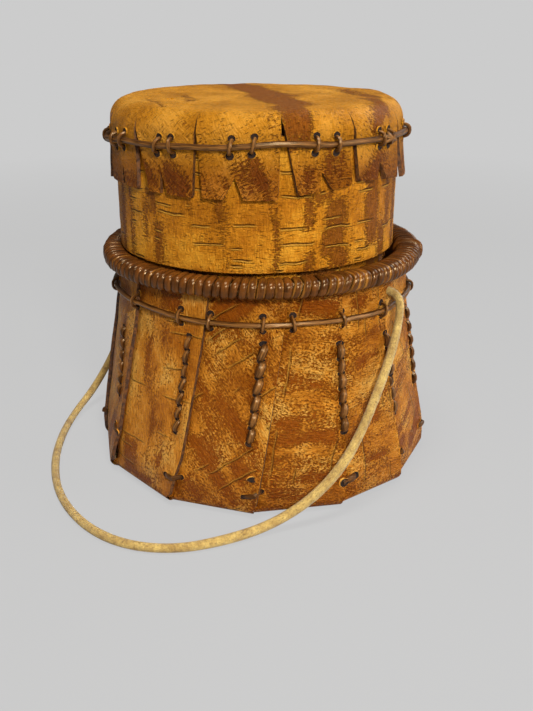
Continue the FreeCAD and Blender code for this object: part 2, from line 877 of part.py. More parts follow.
enter("lid_strand_radius", strand_radius)
lid_strand = ring_of_root("lid_strand_root", "sizes.lid_strand_radius", "0", "sizes.strand_width / 2")
tilt_axis = sideways(HIGH_SIDE_ANGLE) * -1
tilt = Rotation(tilt_axis, size("lid_strand_tilt"))
lid_strand.Placement = Placement(lid_place.Base + Vector(0, 0, strand_level), tilt)


def lid_stitch(angle):
    """One overcast stitch round the lid's strand, at the strand's own height there."""
    rise = strand_radius * math.tan(math.radians(size("lid_strand_tilt")))
    level = strand_level + rise * math.cos(math.radians(angle - HIGH_SIDE_ANGLE))
    inside = size("sleeve_radius") - lap_layers - gap
    outside = strand_radius + strand_width / 2 + gap
    room = strand_width / 2 + 2 * gap
    loop = root_loop(inside, outside, level - room, level + room, root_thickness)
    return turned(loop, angle)


STITCH_SPREAD = 4.0
stitches = []
for tab in range(int(size("tab_count"))):
    middle = FIRST_SLIT_ANGLE + half_pitch * (2 * tab + 1)
    stitches.append(lid_stitch(middle - STITCH_SPREAD))
    stitches.append(lid_stitch(middle + STITCH_SPREAD))
lid_piece("lid_strand_lashing", Part.makeCompound(stitches))


# ---------------------------------------------------------------- checks and files

doc.recompute()
PIECE_TYPES = ("Part::Feature", "Part::Revolution", "Part::Box", "PartDesign::Body")
pieces = [item for item in doc.Objects if item.TypeId in PIECE_TYPES]
for item in doc.Objects:
    if {"Invalid", "Error"} & set(item.State):
        raise RuntimeError(f"{item.Label} failed to build")
os.makedirs("parts", exist_ok=True)
for piece in pieces:
    if piece.Shape.isNull() or not piece.Shape.isValid():
        raise RuntimeError(f"{piece.Label} has no valid shape")
    piece.Shape.exportStep(f"parts/{piece.Label}.step")
print(f"{len(pieces)} pieces, {wrap_turns} turns on the rim")
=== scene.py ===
import math
import random

import bmesh
import bpy
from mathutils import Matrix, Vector, noise


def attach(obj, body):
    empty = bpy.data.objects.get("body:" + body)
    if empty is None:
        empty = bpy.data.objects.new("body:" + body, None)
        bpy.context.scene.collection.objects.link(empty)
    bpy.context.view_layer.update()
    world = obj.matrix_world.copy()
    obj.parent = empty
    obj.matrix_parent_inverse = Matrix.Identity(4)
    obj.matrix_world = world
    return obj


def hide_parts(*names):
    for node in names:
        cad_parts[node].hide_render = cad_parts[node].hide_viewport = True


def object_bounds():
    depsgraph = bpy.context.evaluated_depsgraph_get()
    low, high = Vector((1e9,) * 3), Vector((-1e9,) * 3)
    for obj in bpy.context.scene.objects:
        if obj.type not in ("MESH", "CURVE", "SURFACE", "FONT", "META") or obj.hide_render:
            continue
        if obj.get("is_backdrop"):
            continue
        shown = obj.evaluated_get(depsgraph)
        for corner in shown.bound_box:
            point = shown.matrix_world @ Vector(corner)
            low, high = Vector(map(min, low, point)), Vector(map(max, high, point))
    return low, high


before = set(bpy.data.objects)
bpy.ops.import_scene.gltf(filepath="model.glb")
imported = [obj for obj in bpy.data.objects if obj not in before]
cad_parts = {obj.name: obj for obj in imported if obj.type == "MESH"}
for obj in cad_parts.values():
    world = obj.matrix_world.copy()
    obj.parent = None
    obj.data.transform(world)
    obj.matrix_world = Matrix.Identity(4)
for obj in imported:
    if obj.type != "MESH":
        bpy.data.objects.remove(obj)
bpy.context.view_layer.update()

# A round lidded box of birch bark: one folded and root-sewn sheet with a root-wrapped rim and a
# rawhide thong, and a lift-off lid with notched tabs. Metres, in the frame of the solids.
# Sizes of the pieces are written in millimetres. Angles are in degrees round the box's axis,
# 0 at the front (-Y) and rising towards +X.

# ---------------------------------------------------------------- the studio
# A camera a little above the lid, a soft lamp over the front and a little to the right, one
# straight above, weaker ones from the sides and from behind, and a plain pale floor that runs
# out of sight.

CAMERA_PLACE = Vector((0.0017, -0.3201, 0.1618))
CAMERA_PITCH = 21.83
CAMERA_LENS = 45.57

camera = bpy.data.objects.new("camera", bpy.data.cameras.new("camera"))
camera.data.lens = CAMERA_LENS
camera.data.sensor_width = 36.0
camera.data.clip_start = 0.01
camera.location = CAMERA_PLACE
camera.rotation_euler = (math.radians(90.0 - CAMERA_PITCH), 0.0, 0.0)
bpy.context.collection.objects.link(camera)
bpy.context.scene.camera = camera
bpy.context.scene.view_settings.view_transform = "Standard"

LAMP_AIM = Vector((0.0, 0.0, 0.07))
# each lamp's place, its width and its watts
LAMPS = {
    "lamp_over_front": ((0.2, -0.7, 0.5), 0.16, 7.2),
    "lamp_above": ((-0.06, -0.12, 0.85), 0.22, 4.3),
    "lamp_right": ((0.8, -0.25, 0.3), 0.4, 2.8),
    "lamp_left": ((-0.8, -0.4, 0.25), 0.7, 0.5),
    "lamp_back": ((0.62, 0.6, 0.5), 0.5, 1.9),
}
for name, (place, width, watts) in LAMPS.items():
    lamp = bpy.data.lights.new(name, "AREA")
    lamp.shape = "DISK"
    lamp.size = width
    lamp.energy = watts
    holder = bpy.data.objects.new(name, lamp)
    holder.location = place
    holder.rotation_euler = (LAMP_AIM - Vector(place)).to_track_quat("-Z", "Y").to_euler()
    bpy.context.collection.objects.link(holder)


def linear(code):
    """An sRGB hex colour as the linear values that a shader takes."""
    channels = [int(code[start:start + 2], 16) / 255 for start in (1, 3, 5)]
    channels = [c / 12.92 if c <= 0.04045 else ((c + 0.055) / 1.055) ** 2.4 for c in channels]
    return (*channels, 1.0)


def add_node(tree, kind, inputs=None, **settings):
    """A shader node with its settings and links.

    An input is a value, a socket, or a node whose first working output is meant. A colour mix
    takes its share at 0 and its colours at 6 and 7. A colour ramp's stops are (place, colour).
    """
    node = tree.nodes.new("ShaderNode" + kind)
    for index, (position, code) in enumerate(settings.pop("stops", ())):
        stops = node.color_ramp.elements
        stop = stops[index] if index < 2 else stops.new(position)
        stop.position = position
        stop.color = linear(code)
    for name, value in settings.items():
        setattr(node, name, value)
    for socket, value in (inputs or {}).items():
        if isinstance(value, bpy.types.Node):
            value = next(output for output in value.outputs if output.enabled)
        if isinstance(value, bpy.types.NodeSocket):
            tree.links.new(value, node.inputs[socket])
        else:
            node.inputs[socket].default_value = value
    return node


def empty_material(name):
    material = bpy.data.materials.new(name)
    material.use_nodes = True
    material.node_tree.nodes.clear()
    return material, material.node_tree


STUDIO_GREY = linear("#CCCCCC")
world = bpy.data.worlds.new("studio")
world.use_nodes = True
bpy.context.scene.world = world
world_tree = world.node_tree
world_tree.nodes.clear()
ray = add_node(world_tree, "LightPath").outputs["Is Camera Ray"]
seen = add_node(world_tree, "Background", {"Color": STUDIO_GREY, "Strength": 1.0})
lit = add_node(world_tree, "Background", {"Color": linear("#FFEFD8"), "Strength": 0.14})
air = add_node(world_tree, "MixShader", {0: ray, 1: lit, 2: seen})
add_node(world_tree, "OutputWorld", {"Surface": air})

FLOOR_REACH = 60.0
# how much of the floor that the camera sees is its own even grey: near the box, and far off
FLOOR_GLOW_NEAR = 0.82
SHADOW_REACH = 0.35
FLOOR_EVEN_FROM = 0.7

bpy.ops.object.select_all(action="DESELECT")
bpy.ops.mesh.primitive_circle_add(vertices=96, radius=FLOOR_REACH, fill_type="NGON")
floor = bpy.context.object
floor.name = "floor"
floor_paper, tree = empty_material("matt_grey_paper")
# matt paper: the camera sees mostly its own even grey, and near the box some of its shadow
spot = add_node(tree, "TexCoord").outputs["Object"]
distance = add_node(tree, "VectorMath", {0: spot}, operation="LENGTH")
glow = add_node(tree, "MapRange", {
    "Value": distance,
    "From Min": SHADOW_REACH,
    "From Max": FLOOR_EVEN_FROM,
    "To Min": FLOOR_GLOW_NEAR,
    "To Max": 1.0,
})
paper_light = add_node(tree, "Emission", {"Color": STUDIO_GREY, "Strength": 1.0})
paper_face = add_node(tree, "BsdfDiffuse", {"Color": linear("#A2A2A2")})
ray = add_node(tree, "LightPath").outputs["Is Camera Ray"]
share = add_node(tree, "Math", {0: ray, 1: glow}, operation="MULTIPLY")
paper = add_node(tree, "MixShader", {0: share, 1: paper_face, 2: paper_light})
add_node(tree, "OutputMaterial", {"Surface": paper})
floor.data.materials.append(floor_paper)
floor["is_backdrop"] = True


# ---------------------------------------------------------------- the carrying thong
# A narrow strip of rawhide, rolled round while wet. It leaves a hole at the right of the
# front, hangs down past the front, lies round the left side and goes back in behind.

MM = 0.001


def polar(radius, angle, height):
    """A point, in metres, from a radius and a height in millimetres and an angle."""
    turn = math.radians(angle)
    return Vector((radius * math.sin(turn), -radius * math.cos(turn), height)) * MM


def outward(angle):
    turn = math.radians(angle)
    return Vector((math.sin(turn), -math.cos(turn), 0.0))


RIGHT_HOLE_ANGLE = 56.0
LEFT_HOLE_ANGLE = -122.0
THONG_HEIGHT = 69.0
THONG_WIDTH = 3.2
RIGHT_SEAT = 50.1
LEFT_SEAT = 49.75
THONG_STAND_OFF = 56.3
THONG_ROUTE = [
    (46.6, -34.0, 60.5),
    (43.9, -39.0, 51.0),
    (39.4, -45.6, 40.5),
    (33.8, -52.0, 28.5),
    (27.0, -58.4, 18.0),
    (17.0, -64.3, 9.0),
    (4.0, -69.2, 2.4),
    (-10.0, -77.0, 1.6),
    (-27.0, -82.8, 1.6),
    (-44.0, -79.8, 1.6),
    (-58.6, -68.2, 1.6),
    (-70.4, -49.0, 1.6),
    (-76.8, -26.0, 1.6),
    (-78.6, -4.0, 1.6),
    (-77.2, 15.0, 2.2),
    (-71.5, 31.0, 6.5),
    (-64.5, 39.5, 18.0),
    (-58.0, 38.5, 34.0),
    (-53.0, 34.8, 48.0),
    (-49.6, 32.0, 60.0),
]

# Dry rawhide: pale, slightly translucent straw, in patches about 3 mm wide, with brown fibre
# specks half a millimetre wide that stand up, and a fuzzy sheen.
rawhide, tree = empty_material("rolled_rawhide")
place = add_node(tree, "TexCoord").outputs["Object"]
mm = add_node(tree, "VectorMath", {0: place, 1: (1000.0,) * 3}, operation="MULTIPLY")
patches = add_node(tree, "TexNoise", {"Vector": mm, "Scale": 0.3, "Detail": 4.0, "Roughness": 0.7})
specks = add_node(tree, "TexNoise", {"Vector": mm, "Scale": 1.6, "Detail": 4.0, "Roughness": 0.7})
hide = add_node(tree, "ValToRGB", {"Fac": patches}, stops=[(0.3, "#96702C"), (0.66, "#D0AE5C")])
dark = add_node(tree, "MapRange", {"Value": specks, "From Min": 0.51, "From Max": 0.72})
speckled = add_node(tree, "Mix", {0: dark, 6: hide, 7: linear("#6A4D22")}, data_type="RGBA")
surface = add_node(tree, "BsdfPrincipled", {
    "Base Color": speckled,
    "Roughness": 0.62,
    "IOR": 1.5,
    "Sheen Weight": 0.2,
    "Normal": add_node(tree, "Bump", {"Height": specks, "Strength": 1.0, "Distance": 0.6 * MM}),
})
add_node(tree, "OutputMaterial", {"Surface": surface})


def rolled_cord(name, places, order, width, steps, sides, closed):
    """Rawhide rolled round along a smooth line, in so many steps and sides."""
    line = bpy.data.curves.new(name, "CURVE")
    line.dimensions = "3D"
    run = line.splines.new("NURBS")
    run.points.add(len(places) - 1)
    for point, place in zip(run.points, places):
        point.co = (*place, 1.0)
    run.order_u = order
    run.use_endpoint_u = not closed
    run.use_cyclic_u = closed
    line.resolution_u = steps
    line.bevel_depth = width / 2 * MM
    line.bevel_resolution = sides
    line.use_fill_caps = not closed
    line.materials.append(rawhide)
    rolled = bpy.data.objects.new(name, line)
    bpy.context.collection.objects.link(rolled)
    return rolled


thong_points = [
    polar(RIGHT_SEAT, RIGHT_HOLE_ANGLE, THONG_HEIGHT),
    polar(THONG_STAND_OFF, RIGHT_HOLE_ANGLE, THONG_HEIGHT),
    *(Vector(point) * MM for point in THONG_ROUTE),
    polar(THONG_STAND_OFF, LEFT_HOLE_ANGLE, THONG_HEIGHT),
    polar(LEFT_SEAT, LEFT_HOLE_ANGLE, THONG_HEIGHT),
]
thong = rolled_cord("rolled_thong", thong_points, 3, THONG_WIDTH, 10, 5, False)

# rolled by hand, it is not equally thick everywhere: it is thickest where it meets the ground
THICKEST_POINT = 7
THICKEST = 1.06
THINNING = 0.17
THINNED_AFTER = 5
UNEVENNESS = 0.06
for index, point in enumerate(thong.data.splines[0].points):
    thinner = THINNING * min(abs(index - THICKEST_POINT) / THINNED_AFTER, 1.0)
    point.radius = THICKEST - thinner + UNEVENNESS * math.sin(index * 2.3)
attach(thong, "box")
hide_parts("carrying_thong")

# A stopper knot on each end of the thong, drawn up against the inside of the wall: an overhand
# knot, a strip that passes through its own loop.
KNOT_REACH = 0.62
KNOT_DEPTH = 0.85
KNOT_INSET = 2.2
KNOT_THICKNESS = 1.9
KNOT_STEPS = 26

for name, node, seat, angle in (
    ("drawn_knot_right", "thong_knot_right", RIGHT_SEAT, RIGHT_HOLE_ANGLE),
    ("drawn_knot_left", "thong_knot_left", LEFT_SEAT, LEFT_HOLE_ANGLE),
):
    loop = []
    for step in range(KNOT_STEPS):
        turn = 2 * math.pi * step / KNOT_STEPS
        across = (math.sin(turn) + 2 * math.sin(2 * turn)) * KNOT_REACH
        rise = (math.cos(turn) - 2 * math.cos(2 * turn)) * KNOT_REACH
        depth = -math.sin(3 * turn) * KNOT_DEPTH
        offset = outward(angle + 90.0) * across + outward(angle) * depth + Vector((0, 0, rise))
        loop.append(polar(seat - KNOT_INSET, angle, THONG_HEIGHT) + offset * MM)
    knot = rolled_cord(name, loop, 4, KNOT_THICKNESS, 4, 3, True)
    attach(knot, "box")
    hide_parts(node)


# ---------------------------------------------------------------- the bark sheet of the box
# One sheet of birch bark, golden inner side out. Its middle is the base, and its rim is cut
# into thirteen petals that fold up and lap, each with its right edge over the next petal.

FULL_TURN = 360.0
PETALS = 13
FOOT_ANGLES = [
    -64.0, -31.5, -2.5, 26.5, 53.5, 81.5, 108.5, 135.0, 162.5, 189.0, 216.5, 243.0, 270.0,
]
RIM_ANGLES = [
    -51.5, -18.0, 10.5, 30.0, 51.0, 80.0, 109.0, 138.0, 165.0, 193.5, 220.0, 248.5, 275.5,
]
RIM_HEIGHT = 79.0
NECK_HEIGHT = 62.0
FOOT_RADIUS = 62.2
MOUTH_RADIUS = 51.7
# the free edges' radius at each height, in straight runs
WALL_STATIONS = [(0.0, FOOT_RADIUS), (10.0, 61.6), (NECK_HEIGHT, 52.8), (RIM_HEIGHT, MOUTH_RADIUS)]
FOLD_ROUND = 4.0
BARK_THICKNESS = 1.25
LAP_WIDTH = 12.0
# the step at a petal's edge, on the wall and shaved thinner at the neck
EDGE_LIFT = 0.9
NECK_LIFT = 0.6
# a petal's roundness where it is creased: 0 would be flat, 1 round
CREASED_ROUNDNESS = 0.04
# the share of its lean that a petal's edge takes in the lowest part, where the fold pulls it
CORNER_HEIGHT = 18.0
CORNER_LEANS = {0: 0.5, 1: 0.36, 3: 0.45, 4: 0.3}
PLAIN_LEAN = 0.23
# the bark was not flat where it grew, so its grain turns a little on some petals
PETAL_TWISTS = {1: 5.0, 2: 20.0, 3: 4.0}
# the sheet's lenticels all run one way, like the tangent at this angle
GRAIN_ANGLE = -48.0


def limited(value):
    return min(max(value, 0.0), 1.0)


def short_way(angle):
    """A difference of angles, brought to less than half a turn either way."""
    return (angle + FULL_TURN / 2) % FULL_TURN - FULL_TURN / 2


def edge_angle(index, height):
    """The angle of a petal's free edge at one height, counted on past a full turn."""
    lap, petal = divmod(index, PETALS)
    corner = CORNER_LEANS.get(petal, PLAIN_LEAN)
    low = min(height / CORNER_HEIGHT, 1.0)
    high = max(0.0, (height - CORNER_HEIGHT) / (RIM_HEIGHT - CORNER_HEIGHT))
    lean = RIM_ANGLES[petal] - FOOT_ANGLES[petal]
    return FOOT_ANGLES[petal] + lean * (corner * low + (1 - corner) * high) + FULL_TURN * lap


def wall_radius(height):
    """The radius of the petals' free edges above the fold."""
    for (low, low_radius), (high, high_radius) in zip(WALL_STATIONS, WALL_STATIONS[1:]):
        if height <= high:
            break
    return low_radius + (high_radius - low_radius) * (height - low) / (high - low)


def petal_reach(petal, angle, height):
    """How far a petal's outer face is from the axis: a chord at the foot, an arc at the rim."""
    lift = EDGE_LIFT if height < NECK_HEIGHT else NECK_LIFT
    radius = wall_radius(height)
    round_face = radius - lift / 2
    first, last = edge_angle(petal, height), edge_angle(petal + 1, height)
    half = math.radians((last - first) / 2)
    off_middle = math.radians(angle - (first + last) / 2)
    roundness = CREASED_ROUNDNESS + (1 - CREASED_ROUNDNESS) * min(height / NECK_HEIGHT, 1.0)
    bulge = round_face * (roundness + (1 - roundness) * math.cos(half))
    chord = round_face * math.cos(half) / math.cos(off_middle)
    crown = (bulge - round_face * math.cos(half)) / (radius * (1 - math.cos(half)))
    share = limited((angle - first) / (last - first))
    return chord + (round_face - chord) * crown + lift * (share - 0.5)


def petal_at(angle, height):
    """The petal that is outermost in one direction, and the angle counted from the first petal."""
    while angle < edge_angle(0, height):
        angle += FULL_TURN
    while angle >= edge_angle(PETALS, height):
        angle -= FULL_TURN
    return next(petal for petal in range(PETALS) if angle < edge_angle(petal + 1, height)), angle


def wall_reach(angle, height):
    petal, counted = petal_at(angle, height)
    return petal_reach(petal, counted, height)


def along_grain(x, y):
    """A place on the flat sheet, turned so that u runs along the lenticels."""
    turn = math.radians(GRAIN_ANGLE)
    return (x * math.cos(turn) + y * math.sin(turn), -x * math.sin(turn) + y * math.cos(turn))


def flat_place(petal, angle, height):
    """Where a point of a petal lay when the sheet was flat, in millimetres along the grain."""
    centre_angle = (FOOT_ANGLES[petal] + edge_angle(petal + 1, 0.0)) / 2
    centre = math.radians(centre_angle)
    aside = math.radians(angle - centre_angle) * wall_radius(height)
    twist = math.radians(PETAL_TWISTS.get(petal, 0.0))
    across = aside * math.cos(twist) + height * math.sin(twist)
    out = FOOT_RADIUS + height * math.cos(twist) - aside * math.sin(twist)
    return along_grain(
        math.sin(centre) * out + math.cos(centre) * across,
        -math.cos(centre) * out + math.sin(centre) * across,
    )


# Where the golden skin is rubbed or flaked off and the brown layer shows: angle, height, and
# the patch's half sizes along the lenticels and across them.
WORN_PATCHES = [
    (-51.9, 9.0, 5.0, 8.0), (-47.0, 3.0, 9.0, 3.5), (-44.5, 46.0, 1.2, 10.0),
    (-41.0, 34.0, 1.4, 13.0), (-37.5, 60.0, 1.3, 6.0), (-34.0, 70.0, 5.0, 4.5),
    (-52.0, 69.0, 3.0, 5.0), (-36.0, 20.0, 1.2, 9.0), (-20.5, 42.5, 3.0, 5.5),
    (-13.5, 36.0, 3.2, 6.5), (-8.0, 29.5, 2.8, 5.0), (-18.0, 22.0, 4.6, 7.0),
    (-9.0, 70.5, 8.0, 5.0), (-16.3, 61.0, 2.5, 3.0), (-6.7, 16.5, 3.5, 5.0), (-12.0, 9.5, 2.8, 9.0),
    (-2.0, 47.0, 1.5, 4.5), (0.5, 62.0, 2.0, 4.0), (-22.0, 8.0, 2.6, 6.0), (10.2, 52.9, 1.5, 5.2),
    (17.8, 51.0, 1.2, 2.6), (11.4, 45.3, 1.7, 3.4), (19.0, 44.2, 1.9, 3.6), (8.6, 42.6, 1.4, 2.4),
    (8.4, 31.5, 3.0, 5.6), (20.0, 26.8, 3.0, 6.4), (9.6, 26.0, 2.6, 5.5), (10.0, 16.8, 1.2, 8.0),
    (19.0, 12.5, 2.2, 6.5), (10.0, 6.0, 2.2, 9.0), (20.5, 69.5, 3.2, 8.0), (14.0, 60.0, 0.8, 6.0),
    (37.4, 48.4, 2.4, 2.8), (43.5, 50.4, 1.8, 3.6), (31.6, 41.0, 1.2, 2.6), (40.5, 30.0, 4.4, 4.5),
    (34.0, 25.0, 3.0, 3.2), (42.0, 14.0, 2.0, 6.5), (38.0, 68.5, 3.0, 4.0), (48.0, 40.0, 1.5, 3.0),
    (57.0, 33.0, 1.6, 9.0), (61.0, 20.0, 1.6, 10.0), (56.0, 12.0, 2.2, 6.0),
    (68.0, 44.0, 1.5, 12.0), (72.0, 12.0, 3.5, 8.0), (-60.5, 30.0, 1.4, 12.0),
    (-66.0, 52.0, 1.6, 9.0), (-70.0, 14.0, 3.0, 8.0),
]
# behind, the patches are strewn at random
BACK_PATCHES = 64
BACK_START = 84.0
BACK_SPAN = 194.0
scatter = random.Random(11)
for _ in range(BACK_PATCHES):
    back_angle = BACK_START + BACK_SPAN * scatter.random()
    half_across = scatter.uniform(3.0, 10.0)
    back_height = scatter.uniform(4.0, 72.0)
    WORN_PATCHES.append((back_angle, back_height, scatter.uniform(0.8, 3.2), half_across))

worn_places = []
for patch_angle, patch_height, half_along, half_across in WORN_PATCHES:
    petal, counted = petal_at(patch_angle, patch_height)
    worn_places.append((*flat_place(petal, counted, patch_height), half_along, half_across))

# how much each petal's skin has chipped all over, from the first petal round to the right
PETAL_WEAR = [0.2, 0.32, 0.32, 0.26, 0.24, 0.22, 0.26, 0.24, 0.3, 0.26, 0.28, 0.24, 0.2]
PATCH_WEAR = 0.62
PATCH_SOFTNESS = 2.2


def patch_share(u, v, half_u, half_v):
    """1 in the middle of a patch, 0.5 on its edge, and soft on either side of that."""
    depth = min(half_u - abs(u), half_v - abs(v))
    return limited(0.5 + depth / (2 * PATCH_SOFTNESS))


def worn_share(u, v, patches):
    """How far a flat place lies in one of the patches: (u, v, half size along u, along v)."""
    shares = [
        patch_share(u - patch[0], v - patch[1], *patch[2:])
        for patch in patches
        if abs(u - patch[0]) < patch[2] + PATCH_SOFTNESS
    ]
    return max(shares, default=0.0)


def swell(place, broad, fine, shift=Vector((0, 0, 0))):
    """How far bark swells or dips at a place, in broad and fine waves of (depth, length)."""
    broad_wave = broad[0] * noise.noise(place / (broad[1] * MM))
    return broad_wave + fine[0] * noise.noise(place / (fine[1] * MM) + shift)


def fading(effect, distance):
    """An effect of (size, reach) at a distance from where it is full, in millimetres."""
    size, reach = effect
    return size * math.exp(-distance / reach)


def open_mesh():
    """An empty mesh that can hold a sheet's own flat coordinates, its wear and its darkening, which
    is mostly painted shade.
    """
    shape = bmesh.new()
    shape.loops.layers.uv.new("flat")
    shape.verts.layers.float.new("worn")
    shape.verts.layers.float.new("darkening")
    return shape


def add_vert(shape, place, wear, darkening):
    vert = shape.verts.new(place)
    vert[shape.verts.layers.float["worn"]] = wear
    vert[shape.verts.layers.float["darkening"]] = darkening
    return vert


def add_face(shape, corners, spread, material=0):
    """A smooth face, with each corner's place in metres on the flat piece."""
    made = shape.faces.new(corners)
    made.material_index = material
    made.smooth = True
    flat_layer = shape.loops.layers.uv["flat"]
    for loop, place in zip(made.loops, spread):
        loop[flat_layer].uv = place


OUTER_FACE, INNER_FACE, CUT_FACE = 0, 1, 2


def add_sheet(shape, rows, open_rows=0):
    """A sheet of bark: rows of (place, flat place in mm, wear, darkening), outer face up.

    The first open_rows rows get no cut edge, because the sheet runs on there.
    """
    height, width = len(rows), len(rows[0])
    normals = []
    for j in range(height):
        # the first row may be a single point, so its way across is the second row's
        across = rows[max(j, 1)]
        normals.append([])
        for i in range(width):
            right = across[min(i + 1, width - 1)][0] - across[max(i - 1, 0)][0]
            up = rows[min(j + 1, height - 1)][i][0] - rows[max(j - 1, 0)][i][0]
            normals[j].append(right.cross(up).normalized())
    outer, inner = (
        [
            [add_vert(shape, spot[0] - out * depth, *spot[2:]) for spot, out in zip(row, outs)]
            for row, outs in zip(rows, normals)
        ]
        for depth in (0.0, BARK_THICKNESS * MM)
    )

    def quad(spots, sides, material):
        """A face through spots of the rows, each on the outer or the inner side."""
        corners = [side[j][i] for side, (j, i) in zip(sides, spots)]
        spread = [[size * MM for size in rows[j][i][1]] for j, i in spots]
        add_face(shape, corners, spread, material)

    for j in range(height - 1):
        for i in range(width - 1):
            spots = [(j, i), (j, i + 1), (j + 1, i + 1), (j + 1, i)]
            quad(spots, [outer] * 4, OUTER_FACE)
            quad(spots[::-1], [inner] * 4, INNER_FACE)
    cuts = []
    for j in range(open_rows, height - 1):
        cuts += [[(j, 0), (j + 1, 0)], [(j + 1, width - 1), (j, width - 1)]]
    if not open_rows:
        cuts += [[(0, i), (0, i + 1)] for i in range(width - 1)]
    cuts += [[(height - 1, i + 1), (height - 1, i)] for i in range(width - 1)]
    for cut in cuts:
        quad(cut + cut[::-1], [outer, outer, inner, inner], CUT_FACE)


def finish_piece(name, shape, materials, body, nodes):
    """The mesh as an object in place, riding on its body and standing for its solids."""
    mesh = bpy.data.meshes.new(name)
    shape.to_mesh(mesh)
    shape.free()
    for material in materials:
        mesh.materials.append(material)
    piece = bpy.data.objects.new(name, mesh)
    bpy.context.collection.objects.link(piece)
    bpy.ops.object.select_all(action="DESELECT")
    piece.select_set(True)
    bpy.context.view_layer.objects.active = piece
    bpy.ops.object.shade_smooth_by_angle(angle=math.radians(40.0))
    piece.select_set(False)
    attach(piece, body)
    if nodes:
        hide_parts(*nodes)
    return piece


